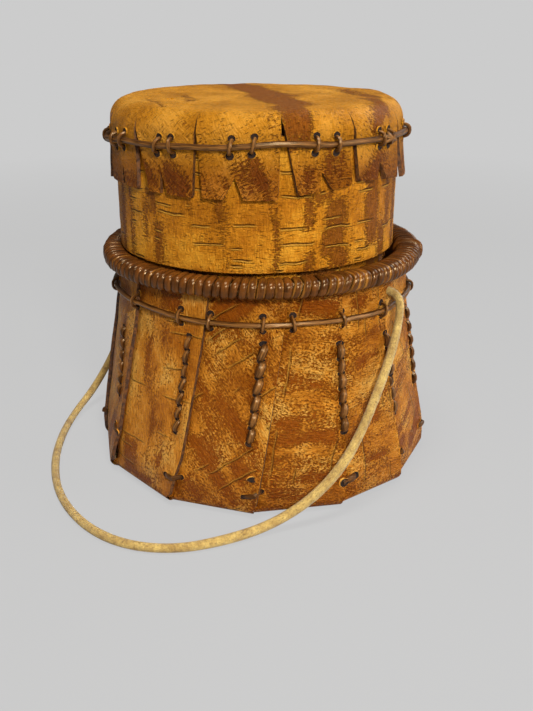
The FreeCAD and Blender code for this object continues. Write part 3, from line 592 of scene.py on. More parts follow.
def golden_bark(
    name, golds, browns, chips, ticks, tick_from, lenticels, lenticel_share, relief, gloss
):
    """Inner side of birch bark, oiled by hands: golden ochre with a satin sheen.

    The skin has flaked in chips that show the brown layer below, fine dark ticks cross it, and
    lenticels run along the grain, each with a lower lip of paler bark that also carries a
    painted highlight. Sizes are millimetres on the flat sheet, along the grain and across it,
    and the relief's depth is in millimetres too. The golds and the browns go from dark to
    bright. The gloss is its roughness, from and to, and its IOR.
    """
    material, tree = empty_material(name)
    flat = add_node(tree, "UVMap", uv_map="flat")
    mm = add_node(tree, "VectorMath", {0: flat, 1: (1000.0, 1000.0, 0.0)}, operation="MULTIPLY")
    sway = add_node(tree, "TexNoise", {"Vector": mm, "Scale": 0.09, "Detail": 2.0}).outputs["Color"]
    sway = add_node(tree, "VectorMath", {0: sway, 1: (0.5, 0.5, 0.5)}, operation="SUBTRACT")
    sway = add_node(tree, "VectorMath", {0: sway, 1: (3.0, 3.0, 0.0)}, operation="MULTIPLY")
    grown = add_node(tree, "VectorMath", {0: mm, 1: sway}, operation="ADD")

    # four patterns, each with its own size along and across: chips of the skin, how they crowd
    # in some places, long fibres across the grain, and ticks along it
    patterns = []
    for along, across, detail, roughness in (
        (1 / chips[0], 1 / chips[1], 4.0, 0.66),
        (0.19, 0.035, 3.0, 0.55),
        (2.4, 0.3, 3.0, 0.6),
        (1 / ticks[0], 1 / ticks[1], 2.0, 0.6),
    ):
        often = (along, across, 0.0)
        place = add_node(tree, "VectorMath", {0: grown, 1: often}, operation="MULTIPLY")
        pattern = {"Vector": place, "Scale": 1.0, "Detail": detail, "Roughness": roughness}
        patterns.append(add_node(tree, "TexNoise", pattern))
    chipped, crowd, fibre, ticked = patterns

    # the golden skin, from deep to bright, and the brown layer where it has chipped off
    tone = {"Vector": mm, "Scale": 0.055, "Detail": 3.0, "Roughness": 0.6}
    tone = add_node(tree, "TexNoise", tone)
    tone = add_node(tree, "Math", {0: fibre, 1: 0.6, 2: tone}, operation="MULTIPLY_ADD")
    skin = add_node(tree, "ValToRGB", {"Fac": tone}, stops=zip((0.62, 0.82, 0.95), golds))
    brown = add_node(tree, "ValToRGB", {"Fac": fibre}, stops=zip((0.36, 0.66), browns))
    worn = add_node(tree, "Attribute", attribute_name="worn").outputs["Fac"]
    ragged = add_node(tree, "Math", {0: chipped, 1: 1.6, 2: worn}, operation="MULTIPLY_ADD")
    ragged = add_node(tree, "Math", {0: crowd, 1: 0.9, 2: ragged}, operation="MULTIPLY_ADD")
    brown_share = add_node(tree, "MapRange", {"Value": ragged, "From Min": 1.57, "From Max": 1.67})
    colour = add_node(tree, "Mix", {0: brown_share, 6: skin, 7: brown}, data_type="RGBA")

    # fine ticks along the grain, where the skin has cracked
    tick_share = add_node(tree, "MapRange", {
        "Value": ticked, "From Min": tick_from, "From Max": tick_from + 0.07, "To Max": 0.75,
    })
    cracked = {0: tick_share, 6: colour, 7: linear("#5A2F0A")}
    colour = add_node(tree, "Mix", cracked, data_type="RGBA")

    # lenticels: one slit in each cell of a net stretched along the grain, as long as a lot says
    cell = (1 / lenticels[0], 1 / lenticels[1], 0.0)
    place = add_node(tree, "VectorMath", {0: grown, 1: cell}, operation="MULTIPLY")
    net = {"Vector": place, "Scale": 1.0, "Randomness": 0.9}
    net = add_node(tree, "TexVoronoi", net, voronoi_dimensions="2D")
    off = {0: place, 1: net.outputs["Position"]}
    off = add_node(tree, "VectorMath", off, operation="SUBTRACT")
    off = add_node(tree, "SeparateXYZ", {0: off})
    lot = add_node(tree, "SeparateColor", {0: net.outputs["Color"]})
    reach = {"Value": lot, "From Min": 0.3, "From Max": 1.0, "To Min": 0.0, "To Max": 0.42}
    reach = add_node(tree, "MapRange", reach)
    inside = add_node(tree, "Math", {0: off.outputs[0]}, operation="ABSOLUTE")
    inside = add_node(tree, "Math", {0: reach, 1: inside}, operation="SUBTRACT")
    inside = {"Value": inside, "From Min": 0.0, "From Max": 0.1, "To Max": lenticel_share}
    inside = add_node(tree, "MapRange", inside)
    rise = add_node(tree, "Math", {0: off.outputs[1], 1: lenticels[1]}, operation="MULTIPLY")
    # the lip lies below the slit: how high each is, and where it fades in and is full
    below = add_node(tree, "Math", {0: rise, 1: 0.45}, operation="ADD")
    marks = []
    for level, faint, full, most in ((rise, 0.3, 0.12, 1.0), (below, 0.35, 0.1, 0.95)):
        mark = add_node(tree, "Math", {0: level}, operation="ABSOLUTE")
        mark = {"Value": mark, "From Min": faint, "From Max": full, "To Min": 0.0, "To Max": most}
        mark = add_node(tree, "MapRange", mark)
        marks.append(add_node(tree, "Math", {0: mark, 1: inside}, operation="MULTIPLY"))
    slit, lip_highlight = marks
    # the lip's pale colour: paler bark, and a painted highlight where the raised lip meets the
    # light
    colour = add_node(tree, "Mix", {0: lip_highlight, 6: colour, 7: linear("#E2A43C")}, data_type="RGBA")
    colour = add_node(tree, "Mix", {0: slit, 6: colour, 7: linear("#55300C")}, data_type="RGBA")

    # painted shade at the laps, in the seams' dents, along the slits and under the rim, and the
    # bark darker along the foot and the fold, round the lid's shoulder, towards the tabs' tips and
    # at a strip's lower edge
    darkening = add_node(tree, "Attribute", attribute_name="darkening").outputs["Fac"]
    darkening = {0: darkening, 6: colour, 7: linear("#9A4812")}
    colour = add_node(tree, "Mix", darkening, data_type="RGBA", blend_type="MULTIPLY")

    # the skin stands a little above the brown layer, gritty and wrinkled across the grain
    grit = {"Vector": mm, "Scale": 0.8, "Detail": 5.0, "Roughness": 0.72}
    grit = add_node(tree, "TexNoise", grit)
    height = add_node(tree, "Math", {0: grit, 1: 1.7, 2: fibre}, operation="MULTIPLY_ADD")
    for mark, depth in ((brown_share, -0.7), (tick_share, -0.7), (slit, -1.4), (lip_highlight, 1.2)):
        height = add_node(tree, "Math", {0: mark, 1: depth, 2: height}, operation="MULTIPLY_ADD")
    bump = add_node(tree, "Bump", {"Height": height, "Strength": 1.0, "Distance": relief * MM})
    roughness = add_node(tree, "MapRange", {
        "Value": grit, "From Min": 0.35, "From Max": 0.65, "To Min": gloss[0], "To Max": gloss[1],
    })
    surface = add_node(tree, "BsdfPrincipled", {
        "Base Color": colour,
        "Roughness": roughness,
        "IOR": gloss[2],
        "Specular Tint": linear("#FFD08A"),
        "Normal": bump,
    })
    add_node(tree, "OutputMaterial", {"Surface": surface})
    return material


def plain_grain(name, often, grain, tints, bump, roughness, ior, flat=False):
    """A matt natural material in two tints of one grain.

    The grain repeats so often in a metre each way, in space or on the flat sheet. The bump is
    its strength and its depth in millimetres, or nothing.
    """
    material, tree = empty_material(name)
    place = add_node(tree, "UVMap", uv_map="flat") if flat else (
        add_node(tree, "TexCoord").outputs["Object"]
    )
    place = add_node(tree, "VectorMath", {0: place, 1: often}, operation="MULTIPLY")
    grain = add_node(tree, "TexNoise", {"Vector": place, **grain})
    tint = add_node(tree, "ValToRGB", {"Fac": grain}, stops=tints)
    look = {"Base Color": tint, "Roughness": roughness, "IOR": ior}
    if bump:
        strength, depth = bump
        bump = {"Height": grain, "Strength": strength, "Distance": depth * MM}
        look["Normal"] = add_node(tree, "Bump", bump)
    surface = add_node(tree, "BsdfPrincipled", look)
    add_node(tree, "OutputMaterial", {"Surface": surface})
    return material


box_skin = golden_bark(
    "golden_bark_of_the_box",
    golds=("#B26210", "#E29029", "#F9B852"),
    browns=("#843B05", "#B2600F"),
    chips=(0.62, 0.95),
    ticks=(2.2, 0.4),
    tick_from=0.66,
    lenticels=(27.0, 6.5),
    lenticel_share=0.5,
    relief=1.15,
    gloss=(0.3, 0.5, 1.36),
)
# outer side of birch bark, inside the box: dull buff paper in peeling layers about 1 mm wide
paper_side = plain_grain(
    "papery_outer_bark",
    (80.0, 900.0, 0.0),
    {"Scale": 1.0, "Detail": 4.0, "Roughness": 0.65},
    [(0.3, "#A07C50"), (0.6, "#CDB08A")],
    bump=(0.5, 0.4),
    roughness=0.75,
    ior=1.45,
    flat=True,
)
# a cut edge of bark: thin leaves, seen on end, painted dark for the line of shade along each edge
shaded_cut_edge = plain_grain(
    "shaded_cut_bark_edge",
    (1000.0, 1000.0, 1000.0),
    {"Scale": 0.8, "Detail": 3.0, "Roughness": 0.7},
    [(0.4, "#341A07"), (0.65, "#754616")],
    bump=(0.4, 0.3),
    roughness=0.6,
    ior=1.5,
)
sheet_faces = [paper_side, shaded_cut_edge]

# the seams seen in front: the lower end (angle, height), the upper end, the stitches and the
# root's width
SEEN_SEAMS = {
    0: ((-62.5, 29.0), (-64.5, 54.0), 6, 1.7),
    1: ((-29.6, 26.0), (-26.3, 59.5), 7, 1.6),
    2: ((-3.7, 25.5), (0.9, 58.5), 6, 2.3),
    3: ((28.0, 27.0), (28.5, 56.5), 6, 2.2),
    4: ((53.4, 25.5), (50.8, 55.5), 6, 2.0),
}
# how many degrees each seam's stitches run inside the edge that they hold down
STITCH_LEADS = [7.0, 5.5, 6.0, 1.5, 1.5, 3.0, 5.0, 6.0, 4.5, 6.0, 5.5, 5.0, 6.5]
SEAM_LOW = 27.0
SEAM_HIGH = 57.5
SEAM_STITCHES = 6
SEAM_ROOT_WIDTH = 1.8
# how deep the sheet is drawn in along a seam, how wide that dent is and how far it runs on
SEAM_DRAW = 0.6
SEAM_DENT = 2.3
DENT_RUN_ON = 3.0


def seam_line(index):
    if index in SEEN_SEAMS:
        return SEEN_SEAMS[index]
    low = edge_angle(index, SEAM_LOW) - STITCH_LEADS[index]
    high = edge_angle(index, SEAM_HIGH) - STITCH_LEADS[index]
    return (low, SEAM_LOW), (high, SEAM_HIGH), SEAM_STITCHES, SEAM_ROOT_WIDTH


def seam_dent(petal, angle, height):
    """How far the seam inside a petal's right edge draws the sheet in at a place."""
    (low_angle, low_height), (high_angle, high_height), _, _ = seam_line((petal + 1) % PETALS)
    share = (height - low_height) / (high_height - low_height)
    beyond = max(0.0, -share, share - 1.0) * (high_height - low_height)
    line_angle = low_angle + (high_angle - low_angle) * limited(share)
    aside = math.radians(short_way(angle - line_angle)) * wall_radius(height)
    return SEAM_DRAW * math.exp(-(aside / SEAM_DENT) ** 2 - (beyond / DENT_RUN_ON) ** 2)


# stations up the sheet: across the base, round the fold, then up the wall
BASE_RADII = [0.0, 12.0, 24.0, 36.0, 46.0, 54.0]
FOLD_STEPS = 5
WALL_STEP = 1.6
# stations across a petal, closest at its edges; a negative share is tucked under its neighbour
PETAL_SHARES = [-1.0, -0.5, -0.12, 0.0, 0.015, 0.05, 0.1, 0.16, 0.23, 0.3, 0.37, 0.44, 0.51, 0.58]
PETAL_SHARES += [0.65, 0.72, 0.79, 0.86, 0.92, 0.965, 0.99, 1.0]
# what the sheet does near a petal's edges, as (size, reach): it comes out from under its
# neighbour, its tucked corner sinks, and its free edge stands off
COMING_OUT = (0.55, 1.2)
CORNER_TUCK = (1.5, 3.0)
EDGE_CURL = (0.35, 2.5)
WALL_SWELL = (0.45, 14.0), (0.14, 4.5), Vector((7, 3, 1))
# above this the hoop holds the sheet, and it swells and curls half as much
HOOP_GRIP_HEIGHT = 70
HELD_SHARE = 0.5
# darkening, as (share, reach): painted shade at the lap and a darkening at the foot, then painted
# shade below the rim and in the dents
LAP_SHADE = (0.30, 1.3)
FOOT_DARKENING = (0.55, 10.0)
NECK_SHADE = 0.34
NECK_SHADE_FROM = 64
DENT_SHADE = 0.42
TUCKED_SHADE = 0.7
MOST_DARKENING = 0.8
# wear and darkening of the base and of the fold
BASE_LOOK = (0.2, 0.1)
FOLD_LOOK = (0.35, 0.35)


def petal_spot(petal, share, height):
    """A point of a petal's outer face above the fold; a negative share is tucked under."""
    first, last = edge_angle(petal, height), edge_angle(petal + 1, height)
    tucked = math.degrees(LAP_WIDTH / MOUTH_RADIUS) * height / RIM_HEIGHT
    width = math.radians(last - first) * wall_radius(height)
    angle = first + (last - first if share >= 0 else tucked) * share
    from_edge = max(width * (1 - share), 0.0)
    from_start = width * max(share, 0.0)
    reach = petal_reach(petal, max(angle, first), height)
    corner = max(0.0, 1 - height / CORNER_HEIGHT) * limited(height / 4.0)
    under = fading(COMING_OUT, from_start) * limited(height / 6.0)
    under += fading(CORNER_TUCK, from_start) * corner
    off = fading(EDGE_CURL, from_edge) * limited(height / 8.0) - under
    off += swell(polar(reach, angle, height), *WALL_SWELL) * limited(height / 10.0)
    dent = seam_dent(petal, angle, height)
    reach += off * (1.0 if height < HOOP_GRIP_HEIGHT else HELD_SHARE) - dent
    flat = flat_place(petal, angle, height)
    # painted shade where the petal comes out from under its neighbour, under it, below the rim and
    # in the seam's dent, and darker towards the foot
    darkening = max(
        fading(LAP_SHADE, from_start) if share >= 0 else TUCKED_SHADE,
        fading(FOOT_DARKENING, height),
        NECK_SHADE * (height - NECK_SHADE_FROM) / 10,
        DENT_SHADE * dent / SEAM_DRAW,
    )
    wear = max(PETAL_WEAR[petal], PATCH_WEAR * worn_share(*flat, worn_places))
    return polar(reach, angle, height), flat, wear, min(darkening, MOST_DARKENING)


def petal_rows(petal):
    """A petal's rows: out over the base, round the fold and up the wall."""
    first, last = edge_angle(petal, 0.0), edge_angle(petal + 1, 0.0)
    angles = [first + (last - first) * max(share, 0.0) for share in PETAL_SHARES]
    rows = []
    for radius in BASE_RADII:
        places = [polar(radius, angle, 0.0) for angle in angles]
        rows.append([(place, along_grain(*(place.xy / MM)), *BASE_LOOK) for place in places])
    for step in range(FOLD_STEPS):
        turn = math.radians(90.0 * step / FOLD_STEPS)
        height = FOLD_ROUND * (1 - math.cos(turn))
        row = []
        for angle in angles:
            reach = petal_reach(petal, angle, 0.0) - FOLD_ROUND * (1 - math.sin(turn))
            flat = flat_place(petal, angle, height)
            row.append((polar(reach, angle, height), flat, *FOLD_LOOK))
        rows.append(row)
    height = FOLD_ROUND
    while height < RIM_HEIGHT - 0.5:
        rows.append([petal_spot(petal, share, height) for share in PETAL_SHARES])
        height += WALL_STEP
    return rows


WELD = 0.02 * MM
shape = open_mesh()
for petal in range(PETALS):
    add_sheet(shape, petal_rows(petal), open_rows=len(BASE_RADII) + FOLD_STEPS - 1)
bmesh.ops.remove_doubles(shape, verts=shape.verts, dist=WELD)
finish_piece(
    "folded_bark_sheet", shape, [box_skin, *sheet_faces], "box", ["bark_box"]
)


# ---------------------------------------------------------------- the hoop in the rim
# A peeled rod bent round outside the bark's upper edge: pale, dry and matt, with fine long
# fibres. The wrapping covers it, so it keeps its plain form.

hoop = bpy.data.objects["rim_hoop"]
hoop.data.materials.clear()
hoop.data.materials.append(plain_grain(
    "peeled_rod",
    (300.0, 300.0, 3000.0),
    {"Scale": 1.0, "Detail": 3.0},
    [(0.0, "#8F6A3C"), (1.0, "#C9A56E")],
    bump=None,
    roughness=0.7,
    ior=1.5,
))


# ---------------------------------------------------------------- the root wrapping of the rim
# Split conifer root in close turns over the hoop and the bark's edge, each turn through an awl
# hole of its own. It is polished by use, and some turns lean or have rubbed edges.

def split_root(name, dark, pale, rubbed, roughness):
    """Split conifer root: brown, half polished, with fibres 0.4 mm wide and rubbed high spots."""
    material, tree = empty_material(name)
    flat = add_node(tree, "UVMap", uv_map="flat")
    often = {0: flat, 1: (180.0, 2600.0, 0.0)}
    fibre = {"Vector": add_node(tree, "VectorMath", often, operation="MULTIPLY"), "Scale": 1.0}
    fibre = add_node(tree, "TexNoise", {**fibre, "Detail": 3.0, "Roughness": 0.6})
    often = {0: flat, 1: (160.0, 160.0, 0.0)}
    blotch = {"Vector": add_node(tree, "VectorMath", often, operation="MULTIPLY"), "Scale": 1.0}
    blotch = add_node(tree, "TexNoise", {**blotch, "Detail": 2.0})
    mixed = add_node(tree, "Math", {0: fibre, 1: blotch}, operation="ADD")
    mixed = add_node(tree, "Math", {0: mixed, 1: 0.5}, operation="MULTIPLY")
    tint = add_node(tree, "ValToRGB", {"Fac": mixed}, stops=[(0.4, dark), (0.6, pale)])
    worn = add_node(tree, "Attribute", attribute_name="worn").outputs["Fac"]
    rub = add_node(tree, "Math", {0: worn, 1: fibre}, operation="MULTIPLY")
    rub = add_node(tree, "MapRange", {"Value": rub, "From Min": 0.25, "From Max": 0.5})
    tint = add_node(tree, "Mix", {0: rub, 6: tint, 7: linear(rubbed)}, data_type="RGBA")
    # painted shade: between the wrapping's turns, on a root's side towards the bark, and where it
    # dives into its holes
    darkening = add_node(tree, "Attribute", attribute_name="darkening").outputs["Fac"]
    tint = add_node(tree, "Mix", {0: darkening, 6: tint, 7: linear("#1E0E05")}, data_type="RGBA")
    bump = add_node(tree, "Bump", {"Height": fibre, "Strength": 0.35, "Distance": 0.2 * MM})
    surface = add_node(tree, "BsdfPrincipled", {
        "Base Color": tint,
        "Roughness": roughness,
        "IOR": 1.5,
        "Specular Tint": linear("#FFDDAA"),
        "Normal": bump,
    })
    add_node(tree, "OutputMaterial", {"Surface": surface})
    return material


wrapping_root = split_root("polished_split_root", "#361A05", "#63350D", "#925E20", 0.28)
sewing_root = split_root("sewing_root", "#2E1706", "#5C3411", "#92602C", 0.34)

# the section that the root is wound round, its corners squared off a little
RIM_INSIDE, RIM_OUTSIDE = 49.4, 56.0
RIM_LOW, RIM_HIGH = 74.9, 79.1
RIM_SQUARENESS = 0.62
WRAP_RADIUS = 53.0
WRAP_TURNS = 125
WRAP_STEPS = 20
WRAP_WIDTH = 2.72
WRAP_LEAN = 0.35
WRAP_CREST = 1.15
WRAP_LENGTH = 22.0
# one turn at the right was never drawn tight
SLACK_TURN = 29
SLACK_CREST = 1.0
# round here the root was worked in anew, and its turns lean most
REPAIR_ANGLE = 30.0
REPAIR_SPREAD = 16.0
REPAIR_LEAN = 0.9
REPAIR_RUBBED = 0.8
# across one turn: the place as a share of its half width, and its height over the hoop
WRAP_PROFILE = [(-1.0, 0.15), (-0.72, 0.72), (-0.25, 1.0), (0.3, 1.0), (0.75, 0.7), (1.0, 0.15)]
# rubbed most at its shoulders, and painted shade where it dips between two turns
SHOULDER_FROM = 0.6
CREST_RUBBED = 0.35
DIP_BELOW = 0.3
DIP_SHADE = 0.95


def squared_off(part, power):
    """A sine or cosine pushed outwards, which makes a round path squarer."""
    return math.copysign(abs(part) ** power, part)


def add_wrap(shape, angle, width, lean, crest, rubbed):
    """One turn of root round the rim, leaning so that its outer face crosses at a slant."""
    rings = []
    for step in range(WRAP_STEPS):
        turn = 2 * math.pi * step / WRAP_STEPS
        cosine, sine = math.cos(turn), math.sin(turn)
        across = (RIM_OUTSIDE - RIM_INSIDE) / 2 * squared_off(cosine, RIM_SQUARENESS)
        up = (RIM_HIGH - RIM_LOW) / 2 * squared_off(sine, RIM_SQUARENESS)
        radius = (RIM_INSIDE + RIM_OUTSIDE) / 2 + across
        height = (RIM_LOW + RIM_HIGH) / 2 + up
        ring = []
        for aside, rise in WRAP_PROFILE:
            on = angle + math.degrees((aside * width / 2 + lean * sine) / WRAP_RADIUS)
            place = polar(radius + cosine * crest * rise, on, height + sine * crest * rise)
            wear = rubbed * (1.0 if abs(aside) > SHOULDER_FROM else CREST_RUBBED)
            ring.append(add_vert(shape, place, wear, DIP_SHADE if rise < DIP_BELOW else 0.0))
        rings.append(ring)
    for step in range(WRAP_STEPS):
        for i in range(len(WRAP_PROFILE) - 1):
            spots = [(step, i), (step, i + 1), (step + 1, i + 1), (step + 1, i)]
            # each turn shows a different piece of the root's grain
            spread = [
                (
                    (WRAP_LENGTH * s / WRAP_STEPS + angle * 3.7) * MM,
                    WRAP_PROFILE[a][0] * width / 2 * MM + angle * 0.01,
                )
                for s, a in spots
            ]
            add_face(shape, [rings[s % WRAP_STEPS][a] for s, a in spots], spread)


shape = open_mesh()
turns = random.Random(5)
for index in range(WRAP_TURNS):
    angle = FULL_TURN / WRAP_TURNS * index
    repair = math.exp(-(short_way(angle - REPAIR_ANGLE) / REPAIR_SPREAD) ** 2)
    slack = SLACK_CREST if index == SLACK_TURN else 0.0
    add_wrap(
        shape,
        angle + turns.uniform(-0.12, 0.12) * (1 + 2 * repair),
        WRAP_WIDTH + turns.uniform(-0.15, 0.25),
        WRAP_LEAN + turns.uniform(-0.15, 0.3) + REPAIR_LEAN * repair * turns.uniform(0.4, 1.0),
        WRAP_CREST + turns.uniform(-0.12, 0.1) + slack,
        turns.uniform(0.0, 0.8) + REPAIR_RUBBED * repair * turns.random(),
    )
finish_piece(
    "wrapped_root", shape, [wrapping_root], "box", ["rim_wrapping_root"]
)


# ---------------------------------------------------------------- the strand round the wall
# A thin split root laid round the wall under the rim, over the petals' edges. It dips and
# rises a little as it goes, and short stitches tie it down.

# painted shade on a root's side that lies towards the bark, and on stitch ends that dive into their
# holes
UNDERSIDE_SHADE = 0.12
HIDDEN_SHADE = 0.7


def add_root(
    shape, path, widths, start_up, sides=8, flatness=1.0, closed=False, rubbed=0.3, hidden=()
):
    """A root along a path of places in metres; widths are in millimetres, one for each place."""
    count = len(path)
    tangents = []
    for index in range(count):
        if closed:
            step = path[(index + 1) % count] - path[index - 1]
        else:
            step = path[min(index + 1, count - 1)] - path[max(index - 1, 0)]
        tangents.append(step.normalized())
    up = (start_up - tangents[0] * start_up.dot(tangents[0])).normalized()
    rings = []
    runs = [0.0]
    for index in range(count):
        if index:
            up = up.copy()
            up.rotate(tangents[index - 1].rotation_difference(tangents[index]))
            runs.append(runs[-1] + (path[index] - path[index - 1]).length)
        side = tangents[index].cross(up).normalized()
        reach = widths[index] / 2 * MM
        ring = []
        for step in range(sides):
            turn = 2 * math.pi * step / sides
            place = path[index] + (up * math.cos(turn) * flatness + side * math.sin(turn)) * reach
            darkening = HIDDEN_SHADE if index in hidden else UNDERSIDE_SHADE * (1 - math.cos(turn))
            ring.append(add_vert(shape, place, rubbed * max(0.0, math.cos(turn)), darkening))
        rings.append(ring)
    if closed:
        runs.append(runs[-1] + 2 * MM)
        rings.append(rings[0])
    around = math.pi * widths[0] * MM
    for index in range(len(rings) - 1):
        for step in range(sides):
            on = (step + 1) % sides
            here, following = rings[index], rings[index + 1]
            ends = zip((index, index, index + 1, index + 1), (step, step + 1, step + 1, step))
            # no two roots show the same piece of grain
            spread = [(runs[end] + path[0].z * 3, around * s / sides) for end, s in ends]
            add_face(shape, [here[step], here[on], following[on], following[step]], spread)
    if not closed:
        shape.faces.new(list(reversed(rings[0])))
        shape.faces.new(rings[-1])


def finish_roots(name, shape, root, body, node):
    """Roots, turned right side out, as one piece."""
    bmesh.ops.recalc_face_normals(shape, faces=shape.faces)
    finish_piece(name, shape, [root], body, [node])


STRAND_WIDTH = 1.8
STRAND_LEVEL = 64.9
STRAND_DIP = 1.2
STRAND_WAVE = 0.3
STRAND_GAP = 0.15
STRAND_POINTS = 240
STRAND_UNEVENNESS = 0.1


def strand_height(angle):
    dip = STRAND_DIP * math.cos(math.radians(angle + 75.0))
    return STRAND_LEVEL + dip + STRAND_WAVE * math.sin(math.radians(5 * angle))


def strand_reach(angle):
    """The strand rides over the petals' edges, so it keeps to the highest part near it."""
    near = [wall_reach(angle + step, strand_height(angle)) for step in (-3.0, -1.5, 0.0, 1.5, 3.0)]
    return max(near) + STRAND_GAP + STRAND_WIDTH / 2


shape = open_mesh()
strand_path = []
strand_widths = []
for step in range(STRAND_POINTS):
    angle = FULL_TURN * step / STRAND_POINTS
    strand_path.append(polar(strand_reach(angle), angle, strand_height(angle)))
    uneven = STRAND_UNEVENNESS * noise.noise(Vector((angle / 9, 3.0, 0.0)))
    strand_widths.append(STRAND_WIDTH * (1 + uneven))
add_root(shape, strand_path, strand_widths, outward(0.0), closed=True, rubbed=0.9)
finish_roots("wall_strand", shape, sewing_root, "box", "wall_strand_root")


# ---------------------------------------------------------------- the stitches over the strand
# Short overcast stitches of root hold the strand to the wall. Each goes out through one awl
# hole above it and back through another below.

# the inside of an awl hole: torn, compressed bark in deep shade
hole_shade = plain_grain(
    "pierced_bark",
    (1000.0, 1000.0, 1000.0),
    {"Scale": 1.5, "Detail": 3.0},
    [(0.4, "#140A04"), (0.75, "#3A2110")],
    bump=None,
    roughness=0.9,
    ior=1.4,
)
HOLE_SIDES = 12
HOLE_RAGGEDNESS = 0.1
# a hole from its torn lip to its middle: share of its size, height over the bark, material
HOLE_RINGS = [(1.35, -0.25, 0), (1.12, 0.16, 0), (0.92, 0.12, 1), (0.6, 0.04, 1)]
UPRIGHT = Vector((0, 0, 1))


def add_hole(shape, place, out, width, height, up=UPRIGHT):
    """An awl hole on the surface: a low torn lip round a dark middle, sizes in millimetres."""
    side = up.cross(out).normalized()
    up = out.cross(side).normalized()
    rings = []
    for share, rise, _ in HOLE_RINGS:
        ring = []
        for step in range(HOLE_SIDES):
            turn = 2 * math.pi * step / HOLE_SIDES
            ragged = noise.noise(place * 900 + Vector((step * 1.7, share * 5, 0)))
            spread = side * math.cos(turn) * width / 2 + up * math.sin(turn) * height / 2
            spread *= share * (1 + HOLE_RAGGEDNESS * ragged)
            ring.append(shape.verts.new(place + (spread + out * rise) * MM))
        rings.append(ring)
    for outer, inner, (_, _, material) in zip(rings, rings[1:], HOLE_RINGS[1:]):
        for step in range(HOLE_SIDES):
            on = (step + 1) % HOLE_SIDES
            corners = [outer[step], outer[on], inner[on], inner[step]]
            spread = [(corner.co.x + corner.co.y, corner.co.z) for corner in corners]
            add_face(shape, corners, spread, material)
    shape.faces.new(rings[-1]).material_index = 1


# a slope is taken between two points this far above and below
SLOPE_REACH = 2


def wall_slope(angle, height):
    """The way out of the wall at a place, tilted as the wall leans."""
    low, high = (
        polar(wall_reach(angle, level), angle, level)
        for level in (height - SLOPE_REACH, height + SLOPE_REACH)
    )
    return outward(angle + 90.0).cross((high - low).normalized()).normalized()


OVERCAST_STEPS = 18


def overcast_path(angle, middle, inner, outer, lean, rise, squareness, pinch=0.0):
    """A closed loop from inside the bark out over a strand, pinched inside if it has to be."""
    path = []
    for step in range(OVERCAST_STEPS):
        turn = 2 * math.pi * step / OVERCAST_STEPS
        cosine, sine = math.cos(turn), math.sin(turn)
        out = (outer + inner) / 2 + (outer - inner) / 2 * squared_off(cosine, squareness[0])
        up = rise * squared_off(sine, squareness[1]) * (1.0 + pinch * min(cosine, 0.0))
        path.append(polar(out, angle + lean * sine, middle + up))
    return path


WALL_STITCH_ANGLES = [-77.0, -52.5, -29.4, -17.9, 0.6, 11.1, 29.4, 49.3, 82.0]
WALL_STITCH_ANGLES += [104.0, 127.0, 146.0, 171.0, 196.0, 214.0, 228.0, 253.0]
WALL_STITCH_WIDTH = 1.25
WALL_STITCH_RISE = 2.1
WALL_STITCH_SQUARENESS = (0.7, 0.8)
WALL_STITCH_PINCH = 0.1
STITCH_OVER_STRAND = 0.45
STITCH_BEHIND_BARK = 1.7
# the hole above the strand and the hole below it: height over the strand, width and height
WALL_STITCH_HOLES = [(2.5, 2.3, 2.0), (-2.4, 2.1, 1.5)]
HOLE_STAND_OFF = 0.1

shape = open_mesh()
holes_shape = open_mesh()
lots = random.Random(3)
for angle in WALL_STITCH_ANGLES:
    middle = strand_height(angle)
    outer = strand_reach(angle) + STRAND_WIDTH / 2 + STITCH_OVER_STRAND
    inner = wall_reach(angle, middle) - BARK_THICKNESS - STITCH_BEHIND_BARK
    path = overcast_path(
        angle, middle, inner, outer, lots.uniform(-0.5, 0.7),
        WALL_STITCH_RISE, WALL_STITCH_SQUARENESS, WALL_STITCH_PINCH,
    )
    widths = [WALL_STITCH_WIDTH] * len(path)
    add_root(shape, path, widths, outward(angle), sides=7, flatness=0.8, closed=True, rubbed=0.8)
    for rise, width, height in WALL_STITCH_HOLES:
        level = middle + rise
        place = polar(wall_reach(angle, level) + HOLE_STAND_OFF, angle, level)
        add_hole(holes_shape, place, wall_slope(angle, level), width, height)
finish_roots("wall_strand_stitches", shape, sewing_root, "box", "wall_strand_lashing")


# ---------------------------------------------------------------- the sewn seams of the wall
# A root in running stitch holds each lap, about six stitches to a seam, set a little inside
# the free edge. Every stitch ends in an awl hole.

# how far a stitch starts to one side of the seam's line and ends to the other
STITCH_SLANT = 0.45
# along one stitch: the share of its way, and its height over the bark; then its width
STITCH_POINTS = [(0.06, -1.3), (0.1, -0.2), (0.2, 0.5), (0.38, 0.85)]
STITCH_POINTS += [(0.6, 0.85), (0.78, 0.55), (0.89, -0.2), (0.93, -1.3)]
STITCH_WIDTHS = [0.7, 0.92, 1.1, 1.18, 1.16, 1.08, 0.9, 0.7]
STITCH_ENDS = (0, 1, 6, 7)
# the root's width for which the heights above are written
STITCH_ROOT = 1.6
STITCH_INSIDE = -2.6
SEAM_HOLE_LIFT = 0.12
SEAM_HOLE_WIDTH = 1.3
SEAM_HOLE_HEIGHT = 0.85


def skin_place(angle, height):
    """The place on the outermost bark at an angle and a height."""
    for petal in range(PETALS):
        first, last = edge_angle(petal, height), edge_angle(petal + 1, height)
        from_first = (angle - first) % FULL_TURN
        if from_first <= last - first:
            return petal_spot(petal, from_first / (last - first), height)[0]


def seam_spot(index, share, depth, aside=0.0):
    """A place on or near the wall along a seam's line, and the way out of the wall there."""
    (low_angle, low_height), (high_angle, high_height), _, _ = seam_line(index)
    angle = low_angle + (high_angle - low_angle) * share
    height = low_height + (high_height - low_height) * share
    out = wall_slope(angle, height)
    angle += math.degrees(aside / wall_radius(height))
    return skin_place(angle, height) + out * depth * MM, out


